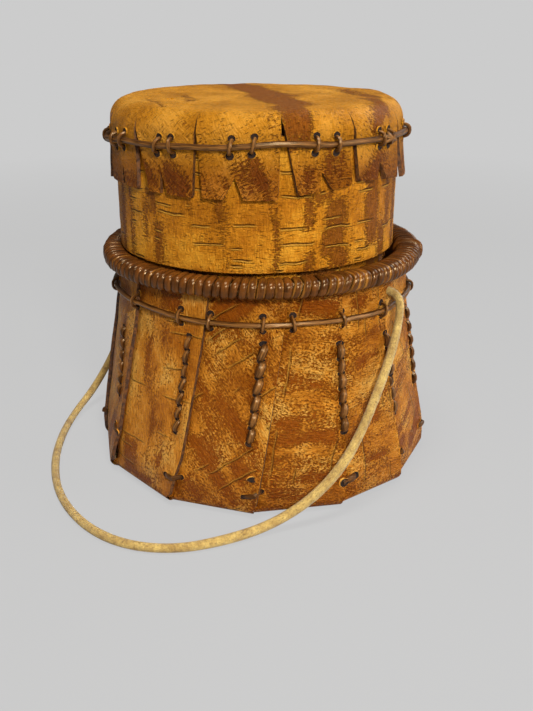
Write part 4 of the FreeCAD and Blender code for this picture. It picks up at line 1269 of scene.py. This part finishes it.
for index in range(PETALS):
    shape = open_mesh()
    _, _, stitches, root = seam_line(index)
    up = (seam_spot(index, 1.0, 0.0)[0] - seam_spot(index, 0.0, 0.0)[0]).normalized()
    for stitch in range(stitches):
        slant = STITCH_SLANT * lots.uniform(0.3, 1.7)
        outside, inside = [], []
        for share, depth in STITCH_POINTS:
            way = (stitch + share) / stitches
            spot, out = seam_spot(index, way, depth * root / STITCH_ROOT, slant * (2 * share - 1))
            outside.append(spot)
            inside.append(seam_spot(index, way, STITCH_INSIDE - depth)[0])
        thick = root * lots.uniform(0.85, 1.12)
        widths = [thick * share for share in STITCH_WIDTHS]
        shown = {"flatness": 0.75, "hidden": STITCH_ENDS}
        add_root(shape, outside, widths, out, sides=8, rubbed=0.75, **shown)
        add_root(shape, inside, widths, -out, sides=6, **shown)
    for stitch in range(stitches + 1):
        place, out = seam_spot(index, stitch / stitches, SEAM_HOLE_LIFT)
        width, height = root * SEAM_HOLE_WIDTH, root * SEAM_HOLE_HEIGHT
        add_hole(holes_shape, place, out, width, height, up)
    number = f"{index + 1:02d}"
    finish_roots(f"sewn_seam_{number}", shape, sewing_root, "box", f"seam_root_{number}")


# ---------------------------------------------------------------- the pins at the base corners
# A short root pins each corner of the base through two thicknesses of bark. Some show as a
# bar between two holes, one as a flat peg, one as no more than its end.

# the corners seen in front: (angle, height) of the pin's middle, its length and its lean
SEEN_PINS = {
    0: (-60.6, 17.6, 5.0, -12.0),
    1: (-29.4, 10.9, 6.0, 2.0),
    2: (-2.8, 8.4, 6.0, 16.0),
    3: (29.2, 10.0, 5.4, 4.0),
    4: (55.6, 10.3, 1.6, 0.0),
}
PIN_HEIGHT = 10.5
PIN_LENGTH = 6.0
PIN_LEAD = 2.0
PIN_WIDTH = 1.5
PEG = 3
PEG_WIDTH = 2.4
# along one pin: the share of its length from its middle, and its height over the bark
PIN_POINTS = [(-0.55, -1.4), (-0.5, -0.1), (-0.36, 0.5), (-0.12, 0.75)]
PIN_POINTS += [(0.14, 0.75), (0.37, 0.45), (0.5, -0.1), (0.55, -1.4)]
PIN_HOLES = (-0.52, 0.52)
PIN_HOLE_WIDTH = 1.25
PIN_HOLE_HEIGHT = 1.1
# a torn hole over the third pin, where the bark has cracked: (angle, height), width, height
TORN_HOLE = (-2.7, 13.9)
TORN_WIDTH = 3.4
TORN_HEIGHT = 1.7


def pin_spot(pin, share):
    """The angle and the height at a share of a pin's length from its middle."""
    angle, height, length, lean = pin
    run = share * length
    aside = math.degrees(run * math.cos(math.radians(lean)) / FOOT_RADIUS)
    return angle + aside, height + run * math.sin(math.radians(lean))


for index in range(PETALS):
    corner_angle = edge_angle(index, PIN_HEIGHT) - PIN_LEAD
    hidden_pin = (corner_angle, PIN_HEIGHT, PIN_LENGTH, lots.uniform(-10.0, 10.0))
    pin = SEEN_PINS.get(index, hidden_pin)
    shape = open_mesh()
    out = wall_slope(*pin[:2])
    path = []
    for share, depth in PIN_POINTS:
        spot = pin_spot(pin, share)
        # the pin bridges the step at the free edge and dives into the bark at its ends
        rest = skin_place(*spot)
        bridge = polar(wall_reach(*spot), *spot)
        if depth > 0 and bridge.xy.length > rest.xy.length:
            rest = bridge
        path.append(rest + out * depth * MM)
    thick = PEG_WIDTH if index == PEG else PIN_WIDTH
    widths = [thick * share for share in STITCH_WIDTHS]
    add_root(shape, path, widths, out, sides=8, flatness=0.7, rubbed=0.5, hidden=STITCH_ENDS)
    for share in PIN_HOLES:
        spot = pin_spot(pin, share)
        place = skin_place(*spot) + out * HOLE_STAND_OFF * MM
        width, height = thick * PIN_HOLE_WIDTH, thick * PIN_HOLE_HEIGHT
        add_hole(holes_shape, place, wall_slope(*spot), width, height)
    number = f"{index + 1:02d}"
    finish_roots(f"corner_pin_{number}", shape, sewing_root, "box", f"corner_tack_{number}")

out = wall_slope(*TORN_HOLE)
place = skin_place(*TORN_HOLE) + out * HOLE_STAND_OFF * MM
add_hole(holes_shape, place, out, TORN_WIDTH, TORN_HEIGHT)
finish_piece("awl_holes_of_the_box", holes_shape, [box_skin, hole_shade], "box", [])


# ---------------------------------------------------------------- the lid's band
# An upright strip of bark, grain level, rolled into a ring with its ends lapped behind. Brown
# stripes cross the grain where the skin has flaked.

LID_AXIS = Vector((-1.7, 0.0, 0.0)) * MM
LID_RADIUS = 49.0
BAND_LOW = 80.7
BAND_HIGH = 122.9
BAND_LAP_START = 168.0
LAP_ANGLE = 16.0
LAP_EASE = 40.0

# each stripe's angle and height, and its half width and half height
BAND_STRIPES = [
    (-66.0, 94.0, 1.6, 14.0), (-57.5, 94.0, 1.6, 14.0), (-42.6, 101.0, 2.2, 4.5),
    (-39.6, 88.0, 2.6, 7.0), (-47.0, 96.0, 0.8, 8.0), (-12.4, 102.0, 1.7, 5.0),
    (-11.6, 94.0, 1.5, 5.0), (-10.8, 86.0, 0.9, 5.0), (-24.5, 97.0, 0.7, 4.5),
    (6.6, 102.0, 1.0, 5.0), (7.6, 90.0, 1.1, 9.0), (20.0, 99.0, 1.8, 5.0), (26.5, 104.0, 3.5, 2.6),
    (31.0, 95.0, 4.2, 9.0), (27.5, 88.5, 2.6, 4.0), (20.5, 84.0, 1.4, 3.0), (33.0, 84.0, 4.0, 3.0),
    (50.5, 97.0, 3.2, 12.0), (58.0, 87.0, 3.0, 6.0), (63.0, 98.0, 1.5, 8.0),
    (72.0, 94.0, 2.4, 14.0),
]
BACK_STRIPES = 12
BACK_STRIPE_STEP = 200.0 / BACK_STRIPES
for step in range(BACK_STRIPES):
    stripe_angle = BACK_START + BACK_STRIPE_STEP * (step + scatter.uniform(0.1, 0.9))
    stripe_height = scatter.uniform(88.0, 104.0)
    half_width = scatter.uniform(0.8, 3.0)
    BAND_STRIPES.append((stripe_angle, stripe_height, half_width, scatter.uniform(6.0, 16.0)))

STRIP_WEAR = 0.06
# the strip darker along its lower edge: share and reach
STRIP_EDGE_DARKENING = (0.35, 0.8)
# the tucked end lies a hair clear of the end over it, and swells less
TUCK_GAP = 0.08
TUCKED_STIFFNESS = 0.7


def strip_rows(radius, low, high, lap_start, stripes, columns, row_step, waviness):
    """A strip rolled into a ring round the lid's axis, its inner end tucked under its outer."""
    waves = (waviness, 15), (0.35 * waviness, 4)
    rows = []
    count = round((high - low) / row_step)
    for j in range(count + 1):
        height = low + (high - low) * j / count
        row = []
        for i in range(columns + 1):
            run = (FULL_TURN + LAP_ANGLE) * i / columns
            angle = lap_start + run
            tuck = limited((run - (FULL_TURN - LAP_EASE)) / LAP_EASE)
            wave = swell(polar(radius, angle, height), *waves) * (1 - TUCKED_STIFFNESS * tuck)
            place = polar(radius - tuck * (BARK_THICKNESS + TUCK_GAP) + wave, angle, height)
            shares = []
            for stripe_angle, stripe_height, *half_sizes in stripes:
                aside = math.radians(short_way(angle - stripe_angle)) * radius
                shares.append(patch_share(aside, height - stripe_height, *half_sizes))
            wear = max(STRIP_WEAR, PATCH_WEAR * max(shares))
            flat = (math.radians(angle) * radius, height)
            row.append((place + LID_AXIS, flat, wear, fading(STRIP_EDGE_DARKENING, height - low)))
        rows.append(row)
    return rows


band_skin = golden_bark(
    "golden_bark_of_the_lid_band",
    golds=("#A6600E", "#CC811A", "#E29C2C"),
    browns=("#753C0A", "#9E5C16"),
    chips=(1.3, 0.5),
    ticks=(3.2, 0.3),
    tick_from=0.61,
    lenticels=(14.0, 3.8),
    lenticel_share=0.9,
    relief=0.7,
    gloss=(0.32, 0.54, 1.32),
)
shape = open_mesh()
add_sheet(shape, strip_rows(
    LID_RADIUS - 0.15, BAND_LOW, BAND_HIGH, BAND_LAP_START, BAND_STRIPES,
    columns=230, row_step=1.5, waviness=0.28,
))
finish_piece(
    "rolled_lid_band", shape, [band_skin, *sheet_faces], "lid", ["lid_band_bark"]
)


# ---------------------------------------------------------------- the plug sleeve
# The strip inside the band that reaches down into the mouth and keeps the lid in place. Its
# lap is at the right, and between lid and rim it shows as a dark collar of painted shade.

SLEEVE_RADIUS = 45.6
SLEEVE_LOW = 72.3
SLEEVE_LAP_START = 78.0
SLEEVE_STRIPES = [
    (-30.0, 78.0, 6.0, 6.0), (-5.0, 78.0, 5.0, 5.0), (26.0, 78.0, 8.0, 6.0), (60.0, 78.0, 5.0, 5.0),
]

# the band's bark in darker golds and browns: painted shade, for the sleeve lies under the band and
# inside the rim
shaded_sleeve_skin = golden_bark(
    "shaded_golden_bark_of_the_sleeve",
    golds=("#7C480A", "#A8640F", "#C07C1C"),
    browns=("#5E3008", "#84480F"),
    chips=(1.3, 0.5),
    ticks=(3.2, 0.3),
    tick_from=0.61,
    lenticels=(14.0, 3.8),
    lenticel_share=0.9,
    relief=0.4,
    gloss=(0.4, 0.6, 1.45),
)
shape = open_mesh()
add_sheet(shape, strip_rows(
    SLEEVE_RADIUS - 0.1, SLEEVE_LOW, BAND_HIGH, SLEEVE_LAP_START, SLEEVE_STRIPES,
    columns=180, row_step=3.0, waviness=0.12,
))
finish_piece(
    "rolled_plug_sleeve",
    shape, [shaded_sleeve_skin, *sheet_faces], "lid", ["plug_sleeve_bark"],
)


# ---------------------------------------------------------------- the roots in the two laps
# Each strip's lap is sewn with one split root, in a row of short upright stitches that show
# on both of its faces: four on the band and two on the sleeve.

LAP_LAYERS = 2 * BARK_THICKNESS + 0.1
LAP_ROOT_WIDTH = 1.1
LAP_STITCH_DEPTH = 0.55
# a stitch starts a little above the last one's end
LAP_STITCH_START = 0.04
LAP_STITCH_SHARE = 0.9
# each lap's name, solid, radius, lower and upper end, angle and stitches
LAP_MIDDLE = LAP_ANGLE / 2
LAPS = [
    (
        "sewn_band_lap", "lid_band_seam_root",
        LID_RADIUS - 0.1, BAND_LOW + 1.0, 102.5, BAND_LAP_START + LAP_MIDDLE, 4,
    ),
    (
        "sewn_sleeve_lap", "plug_sleeve_seam_root",
        SLEEVE_RADIUS - 0.05, SLEEVE_LOW + 0.8, BAND_LOW - 0.8, SLEEVE_LAP_START + LAP_MIDDLE, 2,
    ),
]
for name, node, radius, low, high, angle, stitches in LAPS:
    shape = open_mesh()
    pitch = (high - low) / stitches
    for stitch in range(stitches):
        for base, turn in ((radius, 1.0), (radius - LAP_LAYERS, -1.0)):
            path = []
            for share, depth in STITCH_POINTS:
                way = stitch + LAP_STITCH_START + LAP_STITCH_SHARE * share
                reach = base + turn * depth * LAP_STITCH_DEPTH
                path.append(polar(reach, angle, low + pitch * way) + LID_AXIS)
            widths = [LAP_ROOT_WIDTH * share for share in STITCH_WIDTHS]
            add_root(shape, path, widths, outward(angle) * turn, sides=7, flatness=0.7, rubbed=0.6)
    finish_roots(name, shape, sewing_root, "lid", node)


# ---------------------------------------------------------------- the lid's top sheet
# A round of bark bent down over the band. Slits part its rim into thirteen tabs, and each tab
# is notched like a swallow's tail. The sheet is worked damp, so it swells and dips.

TOP_HEIGHT = 130.6
SHOULDER_ROUND = 7.5
SHOULDER_BEND = SHOULDER_ROUND * math.pi / 2
SHOULDER_BASE = TOP_HEIGHT - SHOULDER_ROUND
SKIRT_RADIUS = 50.35
FLAT_RADIUS = SKIRT_RADIUS - SHOULDER_ROUND
# the flat top sinks a little towards the shoulder
TOP_SINK = 0.35
FLARE_RUN = 20.0
FLARE_POWER = 1.6
TIP_HEIGHT = 104.0
TABS = 13
# each slit: its top's angle and height, then where its two sides reach the tabs' ends
SEEN_SLITS = [
    (-48.5, 126.5, -48.2, -41.2),
    (-20.9, 129.2, -22.3, -18.4),
    (9.2, 128.8, 7.7, 15.2),
    (36.6, 129.2, 35.8, 40.0),
    (66.2, 127.5, 64.8, 69.5),
]
HIDDEN_SLIT_HEIGHT = 128.0
# each tab's notch: angle and height of its point, and where its two sides meet the tab's end
SEEN_NOTCHES = {
    0: (-34.6, 111.2, -36.0, -32.6),
    1: (-6.8, 110.9, -11.2, -4.0),
    2: (24.6, 111.8, 22.4, 27.9),
    3: (51.9, 112.5, 49.2, 55.4),
    12: (-58.6 + FULL_TURN, 110.8, -60.4 + FULL_TURN, -56.6 + FULL_TURN),
}
# how high each tab ends at its left and right, and how far its tip stands off the band
SEEN_ENDS = {
    0: (104.6, 104.2, 0.5),
    1: (104.4, 104.0, 0.8),
    2: (105.4, 107.0, 1.2),
    3: (108.0, 106.0, 1.5),
    4: (105.5, 104.5, 2.3),
    12: (104.6, 104.4, 0.5),
}
HIDDEN_END = 104.2
HIDDEN_FLARE = 0.9
CORNER_CUT = 0.9
# the way along the lenticels, and the worn patches: place and half sizes on the flat sheet
TOP_GRAIN = Vector((0.945, 0.326))
TOP_PATCHES = [
    (3.5, -42.0, 6.0, 20.0), (4.5, -10.0, 7.0, 22.0), (1.5, 20.0, 6.6, 18.0),
    (-3.5, 47.0, 5.0, 13.0), (8.0, 62.0, 3.0, 6.0), (12.0, 64.0, 2.6, 5.0), (1.0, 67.0, 3.2, 4.0),
    (34.0, 8.0, 3.0, 14.0), (30.5, 32.0, 3.4, 9.0), (27.0, 43.0, 3.4, 7.0), (35.0, 56.0, 5.0, 7.0),
    (-24.0, 62.0, 5.0, 6.0), (-14.0, 66.0, 2.5, 4.0), (-51.0, 44.0, 4.0, 7.0),
    (-59.0, 34.0, 3.5, 7.0), (-26.0, 0.0, 1.6, 14.0), (-38.0, 14.0, 1.0, 10.0),
]
TAB_PATCH_WEAR = 0.5
TOP_WEAR = 0.06
BEND_WEAR = 0.05
# the sheet darker as it bends down round the shoulder, and painted shade along the slits' sides as
# (share, reach)
BEND_DARKENING = 0.12
SLIT_SHADE = (0.28, 0.7)
# towards the tips: how much, the height that it starts from, and how far down it is full
TIP_WEAR = (0.2, 115.0, 8.0)
TIP_DARKENING = (0.58, 121.0, 10.0)
# below this the sheet is skirt, with its own wear, and painted shade along the slits
SKIRT_FROM = 124
TOP_SWELL = (0.5, 17), (0.16, 5)
TOP_SETTLE = 0.25
SLIT_CURL = (0.35, 1.5)
# rows: out over the flat top, round the shoulder down to a height, then down the tabs
TOP_ROWS = [0.0, 7.0, 14.0, 20.0, 25.0, 29.5, 33.5, 37.0, 40.0, 42.5]
SHOULDER_ROWS = 7
SHOULDER_ROWS_TO = 126.0
SKIRT_ROWS = 16
# columns from a tab's side to its notch, which come again on the other side
TAB_SHARES = [0.0, 0.02, 0.07, 0.14, 0.21, 0.28, 0.35, 0.42]
NOTCH_SHARE = TAB_SHARES[-1]


def top_profile(run, flare):
    """The sheet's section: flat, round the shoulder, then down to the tips: radius, height."""
    if run <= FLAT_RADIUS:
        return run, TOP_HEIGHT - TOP_SINK * (run / FLAT_RADIUS) ** 3
    if run <= FLAT_RADIUS + SHOULDER_BEND:
        turn = (run - FLAT_RADIUS) / SHOULDER_ROUND
        drop = SHOULDER_ROUND * (1 - math.cos(turn)) + TOP_SINK * (1 - turn / (math.pi / 2))
        return FLAT_RADIUS + SHOULDER_ROUND * math.sin(turn), TOP_HEIGHT - drop
    down = run - FLAT_RADIUS - SHOULDER_BEND
    return SKIRT_RADIUS + flare * (down / FLARE_RUN) ** FLARE_POWER, SHOULDER_BASE - down


def run_at(height):
    """The distance down the sheet from its middle at which the skirt has a height."""
    if height <= SHOULDER_BASE:
        return FLAT_RADIUS + SHOULDER_BEND + SHOULDER_BASE - height
    return FLAT_RADIUS + SHOULDER_ROUND * math.acos(1 - (TOP_HEIGHT - height) / SHOULDER_ROUND)


slits = list(SEEN_SLITS)
last_seen = SEEN_SLITS[-1][0]
hidden_tabs = TABS - len(SEEN_SLITS) + 1
hidden_span = FULL_TURN + SEEN_SLITS[0][0] - last_seen
for step in range(1, hidden_tabs):
    angle = last_seen + hidden_span * step / hidden_tabs + scatter.uniform(-1.2, 1.2)
    left_end = angle - scatter.uniform(0.5, 1.6)
    slits.append((angle, HIDDEN_SLIT_HEIGHT, left_end, angle + scatter.uniform(3.0, 5.5)))
first_angle, first_height, first_left, first_right = SEEN_SLITS[0]
slits.append(
    (first_angle + FULL_TURN, first_height, first_left + FULL_TURN, first_right + FULL_TURN)
)


def side_angle(slit, height, right):
    """The angle of one side of a slit: closed at its top, opening towards the tabs' ends."""
    top_angle, top_height, left_end, right_end = slit
    share = min(max((top_height - height) / (top_height - TIP_HEIGHT), 0.0), 1.1)
    return top_angle + ((right_end if right else left_end) - top_angle) * share


def tab_columns(tab):
    """The shares of a tab's width that get a column, and the share and height of its notch."""
    start = side_angle(slits[tab], TIP_HEIGHT, True)
    width = side_angle(slits[tab + 1], TIP_HEIGHT, False) - start
    if tab in SEEN_NOTCHES:
        point, height, near, far = SEEN_NOTCHES[tab]
    else:
        point = start + width * scatter.uniform(0.44, 0.56)
        height = scatter.uniform(110.0, 112.0)
        near = point - scatter.uniform(1.5, 3.0)
        far = point + scatter.uniform(1.5, 3.0)
    left, middle, right = ((angle - start) / width for angle in (near, point, far))
    before = [left * share / NOTCH_SHARE for share in TAB_SHARES[:-1]]
    after = [1 - (1 - right) * share / NOTCH_SHARE for share in reversed(TAB_SHARES[:-1])]
    return before + [left, middle, right] + after, middle, height


def towards_tip(effect, height):
    """An effect of (size, height, run) that grows to its full size towards the tabs' tips."""
    size, start, run = effect
    return size * limited((start - height) / run)


def tab_rows(tab):
    """A tab's rows: out from the middle of the top, round the shoulder and down to its end."""
    columns, notch_share, notch_height = tab_columns(tab)
    hidden_end = (TIP_HEIGHT + scatter.uniform(0, 1), HIDDEN_END, HIDDEN_FLARE)
    left_end, right_end, flare = SEEN_ENDS.get(tab, hidden_end)
    ends = [left_end + (right_end - left_end) * share for share in columns]
    ends[columns.index(notch_share)] = notch_height
    ends[0] += CORNER_CUT
    ends[-1] += CORNER_CUT
    left, right = slits[tab], slits[tab + 1]
    curls_below = min(left[1], right[1]) - 3
    middle_angle = (left[0] + right[0]) / 2
    middle = math.radians(middle_angle)
    top_run = run_at(SHOULDER_ROWS_TO)
    shoulder_run = top_run - FLAT_RADIUS
    runs = TOP_ROWS + [
        FLAT_RADIUS + shoulder_run * step / SHOULDER_ROWS for step in range(1, SHOULDER_ROWS + 1)
    ]
    levels = [[run] * len(columns) for run in runs]
    for step in range(1, SKIRT_ROWS + 1):
        levels.append([top_run + (run_at(end) - top_run) * step / SKIRT_ROWS for end in ends])
    rows = []
    for level in levels:
        row = []
        for share, run in zip(columns, level):
            radius, height = top_profile(run, flare)
            start, stop = side_angle(left, height, True), side_angle(right, height, False)
            angle = start + (stop - start) * share
            place = polar(radius, angle, height)
            turn = limited((run - FLAT_RADIUS) / shoulder_run) * math.pi / 2
            out = outward(angle) * math.sin(turn) + Vector((0.0, 0.0, math.cos(turn)))
            # the slit's sides curl a little off the band
            from_side = min(share, 1 - share) * math.radians(stop - start) * radius
            curl = fading(SLIT_CURL, from_side) if height < curls_below else 0.0
            place += out * (swell(place, *TOP_SWELL) - TOP_SETTLE + curl) * MM
            if run <= FLAT_RADIUS:
                spread = outward(angle).xy * run
            else:
                aside = math.radians(angle - middle_angle) * radius
                spread = outward(middle_angle).xy * run + outward(middle_angle + 90.0).xy * aside
            u = spread.x * TOP_GRAIN.x + spread.y * TOP_GRAIN.y
            v = spread.x * TOP_GRAIN.y - spread.y * TOP_GRAIN.x
            wear = TOP_WEAR + BEND_WEAR * turn + towards_tip(TIP_WEAR, height)
            patch_wear = TAB_PATCH_WEAR if height <= SKIRT_FROM else PATCH_WEAR
            wear = max(wear, patch_wear * worn_share(u, v, TOP_PATCHES))
            # painted shade along the slits, and the sheet darker round the shoulder and towards the
            # tips
            darkening = max(
                fading(SLIT_SHADE, from_side) if height < SKIRT_FROM else 0.0,
                BEND_DARKENING * turn,
                towards_tip(TIP_DARKENING, height),
            )
            row.append((place + LID_AXIS, (u, v), wear, darkening))
        # the rows run outwards over the top, so their columns run the other way round
        rows.append(row[::-1])
    return rows


top_skin = golden_bark(
    "golden_bark_of_the_lid_top",
    golds=("#BA7614", "#DA9222", "#ECA638"),
    browns=("#7E400C", "#A66016"),
    chips=(1.2, 0.6),
    ticks=(2.2, 0.5),
    tick_from=0.6,
    lenticels=(26.0, 9.0),
    lenticel_share=0.35,
    relief=1.05,
    gloss=(0.3, 0.52, 1.33),
)
shape = open_mesh()
for tab in range(TABS):
    add_sheet(shape, tab_rows(tab), open_rows=len(TOP_ROWS) + SHOULDER_ROWS // 2)
bmesh.ops.remove_doubles(shape, verts=shape.verts, dist=WELD)
finish_piece(
    "bent_top_sheet", shape, [top_skin, *sheet_faces], "lid", ["lid_top_bark"]
)


# ---------------------------------------------------------------- the lid's strand
# A dark root tied round the tabs, with two overcast stitches to a tab that go through tab,
# band and sleeve. Its ends are knotted at the right of the front.

TIE_WIDTH = 1.9
TIE_LEVEL = 118.0
TIE_RISE = 2.5
TIE_HIGH_ANGLE = 20.0
TIE_REACH = 51.35
TIE_SLACK = 0.15
TIE_POINTS = 260
TIE_UNEVENNESS = 0.16


def tie_height(angle):
    wave = 0.35 * math.sin(math.radians(6 * angle + 40)) + 0.2 * math.sin(math.radians(11 * angle))
    return TIE_LEVEL + TIE_RISE * math.cos(math.radians(angle - TIE_HIGH_ANGLE)) + wave


def tie_place(angle, off=0.0, rise=0.0):
    loose = TIE_SLACK * (1 + math.sin(math.radians(7 * angle)))
    return polar(TIE_REACH + loose + off, angle, tie_height(angle) + rise) + LID_AXIS


lid_root = split_root("dark_sewing_root", "#2A1606", "#5A3413", "#94632E", 0.34)
shape = open_mesh()
tie_path = []
tie_widths = []
for step in range(TIE_POINTS):
    angle = FULL_TURN * step / TIE_POINTS
    tie_path.append(tie_place(angle))
    uneven = TIE_UNEVENNESS * noise.noise(Vector((angle / 8, 8.0, 0.0)))
    tie_widths.append(TIE_WIDTH * (1 + uneven))
add_root(shape, tie_path, tie_widths, outward(0.0), closed=True, rubbed=0.7)

# the knot: the two ends cross over the strand and each other, and stick out a little; each
# run's start and end in degrees, and how far it starts and ends above the strand
KNOT_ANGLE = 53.5
KNOT_RUNS = [(-4.2, 4.6, 1.1, -0.9), (-3.6, 3.8, -1.2, 1.2), (-1.8, 1.6, 1.9, -1.6)]
KNOT_ROOT = 1.5
KNOT_SPANS = 8
# how far a run stands off, and how thick it is: at its ends, and what its middle has more
KNOT_OFF = (0.9, 0.7)
KNOT_THICK = (0.75, 0.3)
for start, stop, rise_start, rise_stop in KNOT_RUNS:
    path = []
    widths = []
    for step in range(KNOT_SPANS + 1):
        share = step / KNOT_SPANS
        swelling = math.sin(math.pi * share)
        across = start + (stop - start) * share
        rise = rise_start + (rise_stop - rise_start) * share
        off = KNOT_OFF[0] + KNOT_OFF[1] * swelling
        path.append(tie_place(KNOT_ANGLE + across, off, rise))
        widths.append(KNOT_ROOT * (KNOT_THICK[0] + KNOT_THICK[1] * swelling))
    add_root(shape, path, widths, outward(KNOT_ANGLE), sides=8, flatness=0.85, rubbed=0.8)
finish_roots("tied_lid_strand", shape, lid_root, "lid", "lid_strand_root")

# the stitches seen in front; the rest are a little either side of each tab's middle
tie_stitches = [-63.1, -55.6, -35.9, -29.8, -8.2, -0.6, 21.0, 29.0, 50.2, 56.4]
FIRST_HIDDEN_TAB = 4
STITCH_SPREAD = 4.0
for tab in range(FIRST_HIDDEN_TAB, TABS - 1):
    tab_middle = (slits[tab][0] + slits[tab + 1][0]) / 2
    tie_stitches += [tab_middle - STITCH_SPREAD, tab_middle + STITCH_SPREAD]
TIE_STITCH_WIDTH = 1.35
TIE_STITCH_RISE = 2.15
TIE_STITCH_SQUARENESS = (0.45, 0.75)
# the hole above the strand and the hole below it: height over the strand, how far it follows
# the stitch's lean, width and height
TIE_HOLES = [(2.6, 0.8, 2.1, 1.9), (-2.6, -0.8, 2.3, 2.1)]
TIE_HOLE_LIFT = 0.22
SLEEVE_CLEARANCE = 0.6
shape = open_mesh()
holes_shape = open_mesh()
for angle in tie_stitches:
    middle = tie_height(angle)
    lean = lots.uniform(-0.8, 0.9)
    outer = TIE_REACH + TIE_WIDTH / 2 + STITCH_OVER_STRAND
    inner = SLEEVE_RADIUS - LAP_LAYERS - SLEEVE_CLEARANCE
    path = [
        place + LID_AXIS
        for place in overcast_path(
            angle, middle, inner, outer, lean, TIE_STITCH_RISE, TIE_STITCH_SQUARENESS
        )
    ]
    widths = [TIE_STITCH_WIDTH] * len(path)
    add_root(shape, path, widths, outward(angle), sides=7, flatness=0.85, closed=True, rubbed=0.8)
    for rise, lean_share, width, height in TIE_HOLES:
        place = polar(SKIRT_RADIUS + TIE_HOLE_LIFT, angle + lean * lean_share, middle + rise)
        add_hole(holes_shape, place + LID_AXIS, outward(angle), width, height)
# two awl marks in the top that were never sewn
MARK_SIZE = 0.9
for x, y in ((-30.4, -16.4), (-29.1, -16.4)):
    place = Vector((x, y, TOP_HEIGHT - 0.2)) * MM
    add_hole(holes_shape, place, UPRIGHT, MARK_SIZE, MARK_SIZE, Vector((0, 1, 0)))
finish_roots("tie_stitches", shape, lid_root, "lid", "lid_strand_lashing")
finish_piece("awl_holes_of_the_lid", holes_shape, [top_skin, hole_shade], "lid", [])


# ---------------------------------------------------------------- the end

low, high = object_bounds()
